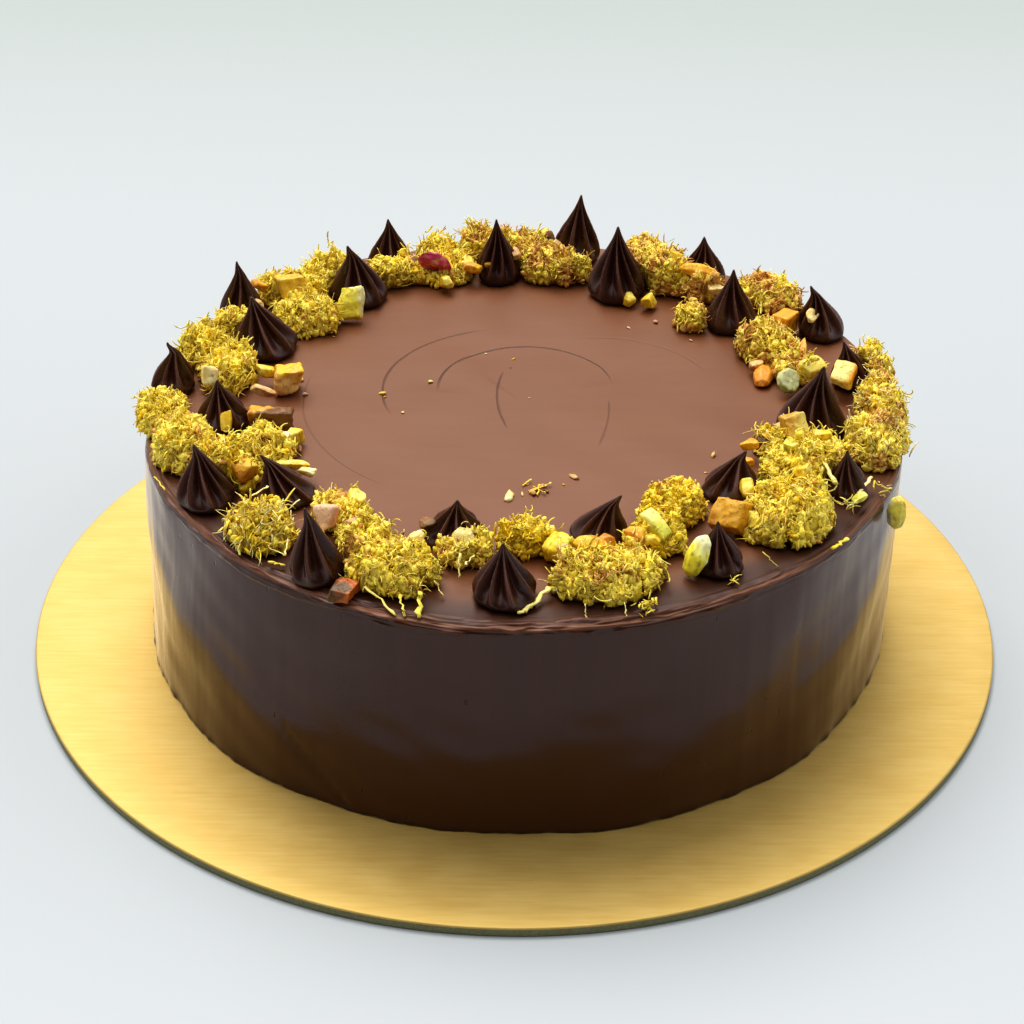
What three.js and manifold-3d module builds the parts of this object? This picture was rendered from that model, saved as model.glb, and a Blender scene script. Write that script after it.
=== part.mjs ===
// A chocolate kunafa cake on its round gold card. The tall round cake is iced all over with
// chocolate ganache. Two rings of piped ganache stars stand round the edge of its top, and
// between them lie clumps of kunafa, which are tangles of short toasted pastry strands, with
// pieces of pistachio and a rose petal. Millimetres, +Z up. The origin is the middle of the
// card's underside, and the front of the cake faces -Y.
import * as THREE from 'three';
import { mergeVertices } from 'three/addons/utils/BufferGeometryUtils.js';
import Module from 'manifold-3d';

const wasm = await Module();
wasm.setup();

// Room left between pieces that touch
const GAP = 0.3;

// The card: 12 inches across, three millimetres of board with foil turned over its edge
const CARD_RADIUS = 152.4;
const CARD_THICKNESS = 3.1;
const CARD_BEVEL = 0.6;
const CARD_SIDES = 64;

// The cake: nine inches of sponge and cream with about 6 mm of icing round it
const CAKE_FOOT_RADIUS = 121.1;
const CAKE_TOP_RADIUS = 119.4;
const CAKE_TOP = 72.0;
const CAKE_FOOT = CARD_THICKNESS + GAP;
const CAKE_SIDES = 64;
const CAKE_OVAL = 2.9;
const CAKE_FLAT_BACK = 4.2;
const CAKE_SKIRT = 0.9;
const CAKE_RIPPLE = 0.35;
const FOOT_CENTRE = new THREE.Vector2(1.2, 9.6);
const TOP_CENTRE = new THREE.Vector2(2.5, 9.6);
const FOOT_BULGE = 1.6;
const FOOT_BULGE_ANGLE = THREE.MathUtils.degToRad(-135);
const FOOT_BULGE_SPREAD = 0.4;

// Shares of the wall's height that have a ring of corners, and the rounded edge above them: how
// far each ring is outside the top's radius and how far below the top
const WALL_PARTS = [0.04, 0.5, 0.9];
const RIM = [[0.2, 2.2], [-0.2, 0.7], [-1.3, 0]];

// The scraper's ripples: how many go round the cake, and how far each turns from foot to rim
const RIPPLES = [[5, 4], [13, -7]];

// Everything on top rests on this plane
const TOPPING_FLOOR = CAKE_TOP + GAP;

// A piped star: ribs left by the nozzle's teeth, and the radius at each part of its height
const STAR_RIBS = 8;
const STAR_VALLEY = 0.8;
const STAR_PROFILE = [[0, 0.84], [0.12, 1], [0.38, 0.83], [0.6, 0.49], [0.82, 0.19]];
const LEAN_POWER = 1.5;
const HOOK_START = 0.8;

// Stars, each: angle in degrees, distance from the middle, width, height, sideways lean of
// the tip, and how far the last fifth hooks over
const INNER_STARS = [
  [38, 86.5, 17, 20.5, 0, 0],
  [67.5, 82.5, 20, 25, -0.5, 0],
  [96, 88.5, 15.5, 22, -0.5, 0],
  [128, 90.5, 20, 19.5, -2.5, -1],
  [158, 90, 21, 19, -4, 0],
  [188.5, 93, 17, 14.5, -1, 0],
  [220.5, 89.5, 16.5, 14.5, -6, -1],
  [256, 81, 18.5, 12.5, 1, 0],
  [285, 80.5, 16, 14, 5, 1],
  [318.5, 79.5, 17, 14, 3, 1],
  [349.5, 89, 22, 22, 2, 0],
];
const OUTER_STARS = [
  [7.5, 105, 14, 15, -4.5, 0],
  [26, 109, 16, 17.5, -4, -1],
  [55, 106.5, 16, 16.5, 0, 0],
  [80, 106, 17, 24, 1, 0],
  [116, 106, 16, 18.5, 0, -0.5],
  [149.5, 109.5, 15, 21, 1, -1],
  [176, 110, 14.5, 16, 2, -3],
  [213, 109, 17.5, 18.5, -1.5, -1],
  [240, 113, 15.5, 21.5, -1.5, -1],
  [267.5, 107.5, 18.5, 17, -1, 0],
  [300, 107, 15, 15, -1, 0],
  [330.5, 107.5, 13, 14.5, -1, 0],
];

// Kunafa clumps. Each is one or more lumps, and each lump is: angle in degrees, distance from
// the middle, half its length round the cake, half its width across the ring, and its height
const CLUMPS = [
  [[7.5, 111, 13, 6.5, 8.5], [356.5, 109, 13, 8, 9], [345.5, 108.5, 13, 10, 8]],
  [[23, 84, 11, 9, 8], [13, 88, 9, 9, 6], [30, 96, 7, 7, 4.5]],
  [[41, 108.5, 13, 9, 7.5]],
  [[44, 76, 6.5, 6, 7]],
  [[61, 97, 15, 11, 11], [51.5, 96, 9, 7, 9], [67.5, 109, 9, 7.5, 7.5]],
  [[84, 89, 14, 8, 9], [89, 104, 13, 9, 7.5], [98.5, 108.5, 9, 7.5, 7.5]],
  [[107, 93, 13, 9, 7], [118, 96, 9, 8, 8], [106.5, 108.5, 8, 7.5, 7]],
  [[144, 90, 12, 12, 7.5], [137, 101, 9, 8, 7.5], [128.5, 108, 12, 8, 7.5], [139.5, 109, 7, 7, 7]],
  [[155.5, 105, 8, 6, 7], [165, 106, 10, 9, 8], [172, 94, 13, 9, 8]],
  [[199, 107, 15, 10, 9], [187, 111, 12, 8, 7.5]],
  [[204, 84, 10, 8, 8], [208, 96.5, 11, 8.5, 7.5]],
  [[227, 108, 12, 11, 7]],
  [[249, 104, 15, 12, 9], [241.5, 95, 8, 7, 8], [234, 87, 9, 9, 8]],
  [[259, 89, 9, 8, 7]],
  [[270, 84, 9, 6.5, 7], [277, 91, 7, 6, 7]],
  [[283, 103.5, 18, 11.5, 8.5]],
  [[301.5, 79, 12, 8, 9], [294, 91, 8, 7, 8]],
  [[333, 92, 17, 11, 10], [316.5, 103, 15, 14, 9], [339.5, 79, 6.5, 5.5, 5]],
];
const CLUMP_SIDES = 8;
const CLUMP_PROFILE = [[1, 0], [1.02, 0.32], [0.74, 0.8]];
const CLUMP_ROUGHNESS = 0.16;
const OVERHANG = 124;

// A kunafa strand, and how many of them a lump shows for each square centimetre it covers
const STRAND_RADIUS = 0.62;
const STRAND_LENGTHS = [8, 13];
const STRAND_RISE = [0.1, 1.35];
const STRAND_LIFT = [0.4, 3.2];
const STRAND_SUNK = 1.5;
const STRAND_STEPS = 3;
const STRANDS_PER_CM2 = 0.66;
const STRAND_TRIES = 14;

// Pieces of nut and a petal, each: name, form, angle in degrees, distance from the middle,
// height of its middle above the cake, length, width, thickness, heading, pitch, roll
const PIECES = [
  ['pistachio_half', 'half', 296.1, 107.1, 6.3, 13.5, 7.4, 6, 100, 62, 12],
  ['pistachio_square', 'chunk', 308, 93.8, 6, 11, 10, 5.5, 20, 8, 42],
  ['pistachio_leaning', 'chunk', 136, 80, 6.5, 12.5, 8.5, 5, -46, 60, 0],
  ['pistachio_beige', 'chunk', 175, 74, 4.9, 9.5, 9, 8.5, 15, 0, 0],
  ['pistachio_brown', 'chunk', 194, 79.3, 4.2, 15, 8.5, 7.5, -14, 0, 10],
  ['rose_petal', 'petal', 110.3, 88.5, 8.5, 12.5, 10.5, 4, 60, 10, 70],
  ['pistachio_cube', 'chunk', 339, 86, 8.2, 11.5, 7.5, 5.5, 131, 52, 0],
  ['pistachio_amber', 'half', 11.5, 77, 1.7, 12, 7, 6, 70, 4, 0],
  ['pistachio_slice', 'slice', 5.5, 83, 4.4, 8.5, 8, 2.8, 60, 30, 45],
  ['pistachio_wedge', 'chunk', 4, 99.5, 7.4, 10, 8.5, 4.2, 60, 20, 0],
  ['pistachio_orange', 'chunk', 29.5, 98, 4.2, 9.5, 8, 7.8, 25, 0, 0],
  ['pistachio_yellow', 'chunk', 276, 91, 4.6, 8.5, 7.5, 7, 45, 10, 20],
  ['pistachio_sliver', 'half', 281, 95, 8.2, 10.5, 6, 4.5, -100, 4, 0],
  ['pistachio_long', 'half', 51.8, 95.6, 9.5, 14.5, 6.5, 6, 130, 12, 0],
  ['pistachio_side', 'half', 333, 121.6, -4.6, 11, 7, 4.6, 75, 84, 0],
  ['pistachio_toasted', 'chunk', 140.7, 100.5, 8.6, 9.5, 9, 8.5, 60, 0, 20],
  ['pistachio_rim', 'chunk', 246, 118.4, 2.2, 8, 6.5, 3.8, 0, 0, 0],
];
const CHUNK_HALF = 0.84;
const CHUNK_ROUGHNESS = 0.16;
const CHIP_ROUGHNESS = 0.12;
const HALF_CUT = -0.35;
const PETAL_THIN = 0.45;
const PETAL_CURL = 0.75;

// Smaller chips of nut, part of the clump that they are pressed into: the clump's number, then
// the same places, sizes and turns as above
const CHIPS = [
  [2, 8.2, 91.8, 6, 8, 7, 5, 20, 10, 0],
  [2, 16, 92, 5.5, 9, 3.5, 3, 60, 20, 0],
  [2, 30.9, 90, 4, 6, 5, 4.5, 0, 0, 0],
  [5, 59.5, 97.5, 10.5, 9, 6, 5, 120, 20, 0],
  [7, 102.5, 91, 5, 7, 5, 5, 0, 20, 0],
  [11, 205.3, 80.5, 5.5, 7.5, 5, 3, 90, 0, 20],
  [11, 214, 97, 6, 6.5, 6, 5.5, 0, 0, 0],
  [11, 212, 81, 4, 10, 3.2, 3, 133, 0, 0],
  [13, 235.5, 97, 7.5, 7, 6.5, 3, -145.5, 55, 0],
  [13, 235.4, 83.5, 6.2, 5.6, 5.2, 5.2, 45, 0, 0],
  [14, 259.5, 90, 7.2, 6.5, 5, 3, 30, 0, 20],
  [16, 288.5, 97, 7, 6.5, 4.5, 4, 30, 0, 0],
  [17, 293.4, 91.7, 7.5, 11, 5.5, 4.5, 7, -30, 0],
  [18, 338, 77, 3.5, 5.5, 4.5, 4, 0, 0, 0],
];

const COLOURS = {
  card: { color: 0xe3c785, roughness: 0.35, metalness: 0.8 },
  cake: { color: 0x6f4b40, roughness: 0.45, metalness: 0 },
  star: { color: 0x33201c, roughness: 0.3, metalness: 0 },
  kunafa: { color: 0xcfc04a, roughness: 0.7, metalness: 0 },
  nut: { color: 0xd9b23a, roughness: 0.6, metalness: 0 },
  petal: { color: 0xc4687a, roughness: 0.7, metalness: 0 },
};

// Seeded draws, so that the same cake comes out every time
let seed = 20;
function random(low = 0, high = 1) {
  seed = (seed * 1664525 + 1013904223) % 4294967296;
  return low + (high - low) * (seed / 4294967296);
}

// Makes one closed skin: corners at one place become one, and triangles left without area go
function weld(geometry) {
  geometry.deleteAttribute('normal');
  geometry.deleteAttribute('uv');
  geometry.clearGroups();
  const welded = mergeVertices(geometry, 1e-4);
  const corners = welded.index.array;
  const kept = [];
  for (let i = 0; i < corners.length; i += 3) {
    const [a, b, c] = corners.slice(i, i + 3);
    if (a !== b && b !== c && c !== a) kept.push(a, b, c);
  }
  welded.setIndex(kept);
  return welded;
}

// Moves every corner of a skin by a function that changes the vector it is given
function warp(geometry, move) {
  const position = geometry.attributes.position;
  const corner = new THREE.Vector3();
  for (let i = 0; i < position.count; i++) {
    corner.fromBufferAttribute(position, i);
    move(corner);
    position.setXYZ(i, corner.x, corner.y, corner.z);
  }
  return geometry;
}

// A profile of [radius, height] pairs turned about Z, closed by its two ends on the axis
function turned(profile, sides) {
  const points = profile.map(([radius, height]) => new THREE.Vector2(radius, height));
  return weld(new THREE.LatheGeometry(points, sides).rotateX(Math.PI / 2));
}

function solidOf(geometry) {
  return new wasm.Manifold(new wasm.Mesh({
    numProp: 3,
    vertProperties: Float32Array.from(geometry.attributes.position.array),
    triVerts: Uint32Array.from(geometry.index.array),
  }));
}

function geometryOf(solid) {
  const mesh = solid.getMesh();
  const geometry = new THREE.BufferGeometry();
  geometry.setAttribute('position', new THREE.BufferAttribute(mesh.vertProperties, 3));
  geometry.setIndex(new THREE.BufferAttribute(mesh.triVerts, 1));
  return geometry;
}

// The place on the cake's top at an angle and a distance from its middle
function onTop(degrees, distance, height = 0) {
  const angle = THREE.MathUtils.degToRad(degrees);
  return new THREE.Vector3(
    TOP_CENTRE.x + distance * Math.cos(angle),
    TOP_CENTRE.y + distance * Math.sin(angle),
    TOPPING_FLOOR + height,
  );
}

function cardGeometry() {
  const flat = CARD_RADIUS - CARD_BEVEL;
  return turned([
    [0, 0],
    [flat, 0],
    [CARD_RADIUS, CARD_BEVEL],
    [CARD_RADIUS, CARD_THICKNESS - CARD_BEVEL],
    [flat, CARD_THICKNESS],
    [0, CARD_THICKNESS],
  ], CARD_SIDES);
}

// The wall leans in a little from the foot to the rim. It is fullest at the front, flatter round
// the back, rippled by the scraper, swollen low down at the front left, and its edge is rounded.
function cakeGeometry() {
  const wallRadius = (part) => THREE.MathUtils.lerp(CAKE_FOOT_RADIUS, CAKE_TOP_RADIUS, part);
  const height = CAKE_TOP - CAKE_FOOT;
  const profile = [[0, CAKE_FOOT], [CAKE_FOOT_RADIUS + CAKE_SKIRT, CAKE_FOOT]];
  for (const part of WALL_PARTS) profile.push([wallRadius(part), CAKE_FOOT + part * height]);
  for (const [outside, below] of RIM) profile.push([CAKE_TOP_RADIUS + outside, CAKE_TOP - below]);
  profile.push([0, CAKE_TOP]);
  const geometry = turned(profile, CAKE_SIDES);
  return warp(geometry, (corner) => {
    const radius = Math.hypot(corner.x, corner.y);
    const angle = Math.atan2(corner.y, corner.x);
    const part = (corner.z - CAKE_FOOT) / height;
    if (radius > 1) {
      let grown = radius - CAKE_OVAL * Math.cos(2 * angle);
      grown -= CAKE_FLAT_BACK * Math.max(0, Math.sin(angle)) ** 2;
      for (const [count, turn] of RIPPLES) grown += CAKE_RIPPLE * Math.sin(count * angle + turn * part);
      const aside = (angle - FOOT_BULGE_ANGLE) / FOOT_BULGE_SPREAD;
      grown += FOOT_BULGE * (1 - part) * Math.exp(-(aside ** 2));
      corner.x *= grown / radius;
      corner.y *= grown / radius;
    }
    corner.x += THREE.MathUtils.lerp(FOOT_CENTRE.x, TOP_CENTRE.x, part);
    corner.y += FOOT_CENTRE.y;
  });
}

// A ribbed cone drawn up to a thin tip that leans and may hook over. Grown is how much larger
// the star is made all round, for the room that its neighbours leave it.
function starGeometry([degrees, distance, width, height, lean, hook], grown = 0) {
  const profile = STAR_PROFILE.map(([part, radius]) => [radius * (width / 2) + grown, part * height]);
  profile.unshift([0, 0]);
  profile.push([0, height + 2 * grown]);
  const place = onTop(degrees, distance);
  return warp(turned(profile, 2 * STAR_RIBS), (corner) => {
    const part = Math.max(0, corner.z / height);
    const sector = Math.round((Math.atan2(corner.x, -corner.y) / Math.PI) * STAR_RIBS);
    const ribbed = sector % 2 === 0 ? 1 : STAR_VALLEY;
    corner.x *= ribbed;
    corner.y *= ribbed;
    corner.x += lean * part ** LEAN_POWER;
    corner.x += (hook * Math.max(0, part - HOOK_START)) / (1 - HOOK_START);
    if (corner.z < 1e-6) corner.z -= grown;
    corner.add(place);
  });
}

// The two ways along the cake's top at a lump: round the ring, and out across it
function ringAxes(degrees) {
  const angle = THREE.MathUtils.degToRad(degrees);
  return {
    round: new THREE.Vector3(-Math.sin(angle), Math.cos(angle), 0),
    out: new THREE.Vector3(Math.cos(angle), Math.sin(angle), 0),
  };
}

function describeLump([degrees, distance, along, across, height], clump) {
  return { clump, along, across, height, place: onTop(degrees, distance), ...ringAxes(degrees) };
}

// How far a lump's corner may go out from the lump's middle, as a share, before it would pass
// the plane that parts the lump from the nearest lump of another clump
function shareInside(corner, lump, lumps) {
  let share = 1;
  const reach = corner.clone().sub(lump.place).setZ(0);
  for (const other of lumps) {
    if (other.clump === lump.clump) continue;
    const between = other.place.clone().sub(lump.place).setZ(0);
    const distance = between.length();
    const size = lump.along + lump.across;
    const limit = (distance * size) / (size + other.along + other.across) - GAP;
    const gone = reach.dot(between) / distance;
    if (gone > limit) share = Math.min(share, limit / gone);
  }
  return share;
}

// The bare core of a lump: a rough low dome with a flat underside
function lumpGeometry(lump, lumps) {
  const profile = [[0, 0], ...CLUMP_PROFILE, [0, 1]];
  return warp(turned(profile, CLUMP_SIDES), (corner) => {
    const rough = 1 + random(-CLUMP_ROUGHNESS, CLUMP_ROUGHNESS);
    const up = corner.z * lump.height * rough;
    const flat = new THREE.Vector3()
      .addScaledVector(lump.out, corner.x * lump.across * rough)
      .addScaledVector(lump.round, corner.y * lump.along * rough);
    corner.addVectors(lump.place, flat);
    corner.addVectors(lump.place, flat.multiplyScalar(shareInside(corner, lump, lumps)));
    corner.z += up;
  });
}

// One strand: a thin three-sided rod bowed over the lump, sunk in its middle and free at its ends
function strandGeometry(lump) {
  const turn = random(0, 2 * Math.PI);
  const rise = random(...STRAND_RISE);
  const shape = [Math.cos(turn) * Math.cos(rise), Math.sin(turn) * Math.cos(rise), Math.sin(rise)];
  const ways = [lump.out, lump.round, new THREE.Vector3(0, 0, 1)];
  const sizes = [lump.across, lump.along, lump.height];
  const middle = lump.place.clone();
  const normal = new THREE.Vector3();
  for (let i = 0; i < 3; i++) {
    middle.addScaledVector(ways[i], shape[i] * sizes[i]);
    normal.addScaledVector(ways[i], shape[i]);
  }
  const way = new THREE.Vector3(random(-1, 1), random(-1, 1), random(-0.6, 0.6)).cross(normal).normalize();
  const length = random(...STRAND_LENGTHS);
  const lifts = [random(...STRAND_LIFT), random(...STRAND_LIFT)];
  const start = middle.clone().addScaledVector(way, -length / 2).addScaledVector(normal, lifts[0]);
  const end = middle.clone().addScaledVector(way, length / 2).addScaledVector(normal, lifts[1]);
  middle.addScaledVector(normal, -2 * STRAND_SUNK - (lifts[0] + lifts[1]) / 2);
  const section = new THREE.Shape();
  for (let i = 0; i < 3; i++) {
    const angle = (i * 2 * Math.PI) / 3;
    const x = STRAND_RADIUS * Math.cos(angle);
    const y = STRAND_RADIUS * Math.sin(angle);
    if (i === 0) section.moveTo(x, y);
    else section.lineTo(x, y);
  }
  section.closePath();
  return weld(new THREE.ExtrudeGeometry(section, {
    steps: STRAND_STEPS,
    extrudePath: new THREE.QuadraticBezierCurve3(start, middle, end),
  }));
}

// A strand may be used where it stays above the cake, inside its own clump's share of the
// ring and clear of every star and piece near by
function strandFits(geometry, solid, lump, lumps, obstacles) {
  const position = geometry.attributes.position;
  const corner = new THREE.Vector3();
  for (let i = 0; i < position.count; i++) {
    corner.fromBufferAttribute(position, i);
    if (corner.z < TOPPING_FLOOR) return false;
    if (Math.hypot(corner.x - TOP_CENTRE.x, corner.y - TOP_CENTRE.y) > OVERHANG) return false;
    if (shareInside(corner, lump, lumps) < 1) return false;
  }
  return obstacles.every((obstacle) => solid.intersect(obstacle).isEmpty());
}

function largestPiece(solid) {
  return solid.decompose().reduce((best, piece) => (piece.volume() > best.volume() ? piece : best));
}

function clumpGeometry(clump, lumps, obstacles) {
  const own = lumps.filter((lump) => lump.clump === clump);
  let core = own.map((lump) => solidOf(lumpGeometry(lump, lumps))).reduce((a, b) => a.add(b));
  for (const obstacle of obstacles) core = core.subtract(obstacle);
  for (const [owner, ...shape] of CHIPS) {
    if (owner === clump + 1) core = core.add(solidOf(pieceGeometry('chip', shape)));
  }
  core = largestPiece(core);
  for (const lump of own) {
    const wanted = Math.round((STRANDS_PER_CM2 * Math.PI * lump.along * lump.across) / 100);
    let placed = 0;
    for (let tries = 0; tries < STRAND_TRIES * wanted && placed < wanted; tries++) {
      const geometry = strandGeometry(lump);
      const strand = solidOf(geometry);
      if (!strandFits(geometry, strand, lump, lumps, obstacles)) continue;
      if (strand.intersect(core).isEmpty()) continue;
      core = core.add(strand);
      placed++;
    }
  }
  return geometryOf(largestPiece(core));
}

// The forms of the loose pieces, each two units long, wide and thick before it is sized
const PIECE_FORMS = {
  chunk: () => warp(weld(new THREE.BoxGeometry(2, 2, 2)), (corner) => {
    corner.x *= CHUNK_HALF + random(-CHUNK_ROUGHNESS, CHUNK_ROUGHNESS);
    corner.y *= CHUNK_HALF + random(-CHUNK_ROUGHNESS, CHUNK_ROUGHNESS);
    corner.z *= CHUNK_HALF + random(-CHUNK_ROUGHNESS, CHUNK_ROUGHNESS);
  }),
  chip: () => warp(weld(new THREE.IcosahedronGeometry(1, 0)), (corner) => {
    corner.multiplyScalar(1 + random(-CHIP_ROUGHNESS, CHIP_ROUGHNESS));
  }),
  half: () => warp(weld(new THREE.SphereGeometry(1, 7, 4).rotateZ(Math.PI / 2)), (corner) => {
    corner.z = Math.max(corner.z, HALF_CUT);
  }),
  slice: () => weld(new THREE.CylinderGeometry(0.94, 1, 2, 9).rotateX(Math.PI / 2)),
  petal: () => warp(weld(new THREE.SphereGeometry(1, 7, 4).rotateZ(Math.PI / 2)), (corner) => {
    corner.z = PETAL_THIN * corner.z + PETAL_CURL * (corner.y ** 2 - PETAL_THIN);
  }),
};

function pieceGeometry(form, shape, grown = 0) {
  const [degrees, distance, height, length, width, thickness, heading, pitch, roll] = shape;
  const geometry = PIECE_FORMS[form]();
  geometry.scale(length / 2 + grown, width / 2 + grown, thickness / 2 + grown);
  geometry.rotateX(THREE.MathUtils.degToRad(roll));
  geometry.rotateY(-THREE.MathUtils.degToRad(pitch));
  geometry.rotateZ(THREE.MathUtils.degToRad(degrees + heading));
  const place = onTop(degrees, distance, height - GAP);
  return geometry.translate(place.x, place.y, place.z);
}

const cake = new THREE.Group();

function addMesh(name, geometry, look) {
  const mesh = new THREE.Mesh(geometry, new THREE.MeshStandardMaterial(look));
  mesh.name = name;
  cake.add(mesh);
}

addMesh('gold_card', cardGeometry(), COLOURS.card);
addMesh('iced_cake', cakeGeometry(), COLOURS.cake);

const stars = [];
for (const [ring, list] of [['inner', INNER_STARS], ['outer', OUTER_STARS]]) {
  list.forEach((star, i) => {
    addMesh(`star_${ring}_${i + 1}`, starGeometry(star), COLOURS.star);
    stars.push(solidOf(starGeometry(star, GAP)));
  });
}

// A piece that leans on a star is let into it, and the kunafa is fitted round both
const pieces = PIECES.map(([name, form, ...shape]) => {
  const before = seed;
  let solid = solidOf(pieceGeometry(form, shape));
  seed = before;
  const room = solidOf(pieceGeometry(form, shape, GAP));
  for (const star of stars) solid = solid.subtract(star);
  addMesh(name, geometryOf(largestPiece(solid)), form === 'petal' ? COLOURS.petal : COLOURS.nut);
  return room;
});

const lumps = CLUMPS.flatMap((clump, i) => clump.map((lump) => describeLump(lump, i)));
const obstacles = [...stars, ...pieces];
CLUMPS.forEach((clump, i) => {
  addMesh(`kunafa_${i + 1}`, clumpGeometry(i, lumps, obstacles), COLOURS.kunafa);
});

export default cake;
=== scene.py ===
import math

import bpy
import numpy as np
from mathutils import Matrix, Vector


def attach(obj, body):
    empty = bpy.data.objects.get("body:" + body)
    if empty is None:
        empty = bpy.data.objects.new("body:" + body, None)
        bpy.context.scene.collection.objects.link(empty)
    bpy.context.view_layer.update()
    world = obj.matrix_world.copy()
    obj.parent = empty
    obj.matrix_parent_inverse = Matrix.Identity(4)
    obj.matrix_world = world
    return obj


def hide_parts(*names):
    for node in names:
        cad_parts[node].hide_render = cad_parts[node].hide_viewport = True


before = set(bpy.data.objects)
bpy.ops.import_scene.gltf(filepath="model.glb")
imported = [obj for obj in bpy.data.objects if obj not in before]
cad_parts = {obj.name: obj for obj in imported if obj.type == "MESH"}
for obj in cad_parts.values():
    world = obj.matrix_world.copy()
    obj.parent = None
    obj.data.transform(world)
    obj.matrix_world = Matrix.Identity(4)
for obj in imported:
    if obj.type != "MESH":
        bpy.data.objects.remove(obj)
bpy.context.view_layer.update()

# The gold card under the cake. It is a 12 inch round of grey board, 3 mm thick, with satin gold
# foil laminated over its top and rolled a little way over the edge. Its cut side stays dull, and
# the foil is faintly mottled and has fine brush streaks from the roller.

MM = 0.001
CARD_RADIUS = 152.4
CARD_THICKNESS = 3.1
CARD_BEVEL = 0.6
CARD_INNER_RING = 60.0


class Value:
    """A value in a material's nodes. Arithmetic on it adds Math nodes, and node() adds any other."""

    def __init__(self, tree, socket):
        self.tree = tree
        self.socket = socket

    def node(self, kind, inputs, output=0, **settings):
        """One output of a new node, whose settings are set first and then its inputs or their links."""
        made = self.tree.nodes.new(kind)
        for name, setting in settings.items():
            setattr(made, name, setting)
        for key, given in inputs.items():
            if isinstance(given, Value):
                self.tree.links.new(given.socket, made.inputs[key])
            else:
                made.inputs[key].default_value = given
        return Value(self.tree, made.outputs[output])

    def math(self, operation, *values):
        return self.node("ShaderNodeMath", dict(enumerate(values)), operation=operation)

    def __add__(self, other):
        return self.math("ADD", self, other)

    def __sub__(self, other):
        return self.math("SUBTRACT", self, other)

    def __rsub__(self, other):
        return self.math("SUBTRACT", other, self)

    def __mul__(self, other):
        return self.math("MULTIPLY", self, other)

    def __truediv__(self, other):
        return self.math("DIVIDE", self, other)

    __radd__ = __add__
    __rmul__ = __mul__

    def vector(self, operation, *values, output=0):
        return self.node("ShaderNodeVectorMath", dict(enumerate(values)), output, operation=operation)

    def parts(self):
        """The x, y and z of a place, or the three shares of a colour."""
        return [self.node("ShaderNodeSeparateXYZ", {0: self}, i) for i in range(3)]

    def ramp(self, low, high):
        """0 below low and 1 above high, smooth between; the other way round where low is the larger."""
        return self.node(
            "ShaderNodeMapRange", {0: self, 1: low, 2: high}, interpolation_type="SMOOTHSTEP"
        )

    def mix(self, start, end):
        """The colour start where this value is 0 and end where it is 1."""
        return self.node("ShaderNodeMix", {0: self, 6: start, 7: end}, 2, data_type="RGBA")

    def noise(self, size, detail=2.0, offset=(0, 0, 0)):
        """Noise from 0 to 1 over this place, its features about size millimetres along each axis."""
        scaled = self.vector("DIVIDE", self, size)
        moved = self.vector("ADD", scaled, offset)
        return self.node("ShaderNodeTexNoise", {0: moved, "Scale": 1.0, "Detail": detail})

    def cells(self, size, output):
        """Voronoi cells about size millimetres wide: the distance to a cell's middle (output 0), or
        its colour (output 1)."""
        scaled = self.vector("DIVIDE", self, size)
        return self.node("ShaderNodeTexVoronoi", {0: scaled, "Scale": 1.0}, output)

    def attribute(self, name, output=2):
        """One of the mesh's point attributes: a number, or with output 0 a colour."""
        return self.node("ShaderNodeAttribute", {}, output, attribute_name=name)


def srgb(red, green, blue):
    """A colour read as 0 to 255 numbers, as the linear numbers that a shader takes."""
    shares = [c / 255 for c in (red, green, blue)]
    return (*[((c + 0.055) / 1.055) ** 2.4 if c > 0.04 else c / 12.92 for c in shares], 1.0)


def make_material(name, describe, **fixed):
    """A Principled material. describe(place) is given the point in millimetres and returns the
    inputs that vary, with "Relief" a height in millimetres. fixed are the sockets' plain numbers."""
    made = bpy.data.materials.new(name)
    made.use_nodes = True
    tree = made.node_tree
    shader = tree.nodes["Principled BSDF"]
    place = Value(tree, tree.nodes.new("ShaderNodeTexCoord").outputs["Object"])
    place = place.vector("DIVIDE", place, (MM, MM, MM))
    inputs = describe(place)
    if "Relief" in inputs:
        relief = inputs.pop("Relief")
        inputs["Normal"] = relief.node("ShaderNodeBump", {"Distance": MM, "Height": relief})
    for key, given in inputs.items():
        if isinstance(given, Value):
            tree.links.new(given.socket, shader.inputs[key])
        else:
            shader.inputs[key].default_value = given
    for key, given in fixed.items():
        shader.inputs[key.replace("_", " ")].default_value = given
    return made


def skin(rows):
    """Closes rows of points (rows, around, 3), given from the bottom up and anticlockwise seen from
    above: quads from row to row, and a fan of triangles round the mean of each end row."""
    count, around = rows.shape[:2]
    points = np.vstack([rows.reshape(-1, 3), rows[0].mean(0), rows[-1].mean(0)])
    row, step = np.meshgrid(np.arange(count - 1), np.arange(around), indexing="ij")
    here = row * around + step
    beside = row * around + (step + 1) % around
    quads = np.stack([here, beside, beside + around, here + around], -1).reshape(-1, 4)
    ring = np.arange(around)
    after = (ring + 1) % around
    last = (count - 1) * around
    low = np.stack([after, ring, np.full(around, len(points) - 2)], -1)
    high = np.stack([ring + last, after + last, np.full(around, len(points) - 1)], -1)
    return points, [quads, low, high]


def with_ends(values):
    """A value for each point of rows as a flat array, with 0 for the two end points of skin()."""
    return np.append(values.ravel(), [0, 0])


def show(name, data):
    """An object for a mesh, light or camera, put into the scene."""
    made = bpy.data.objects.new(name, data)
    bpy.context.scene.collection.objects.link(made)
    return made


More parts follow.
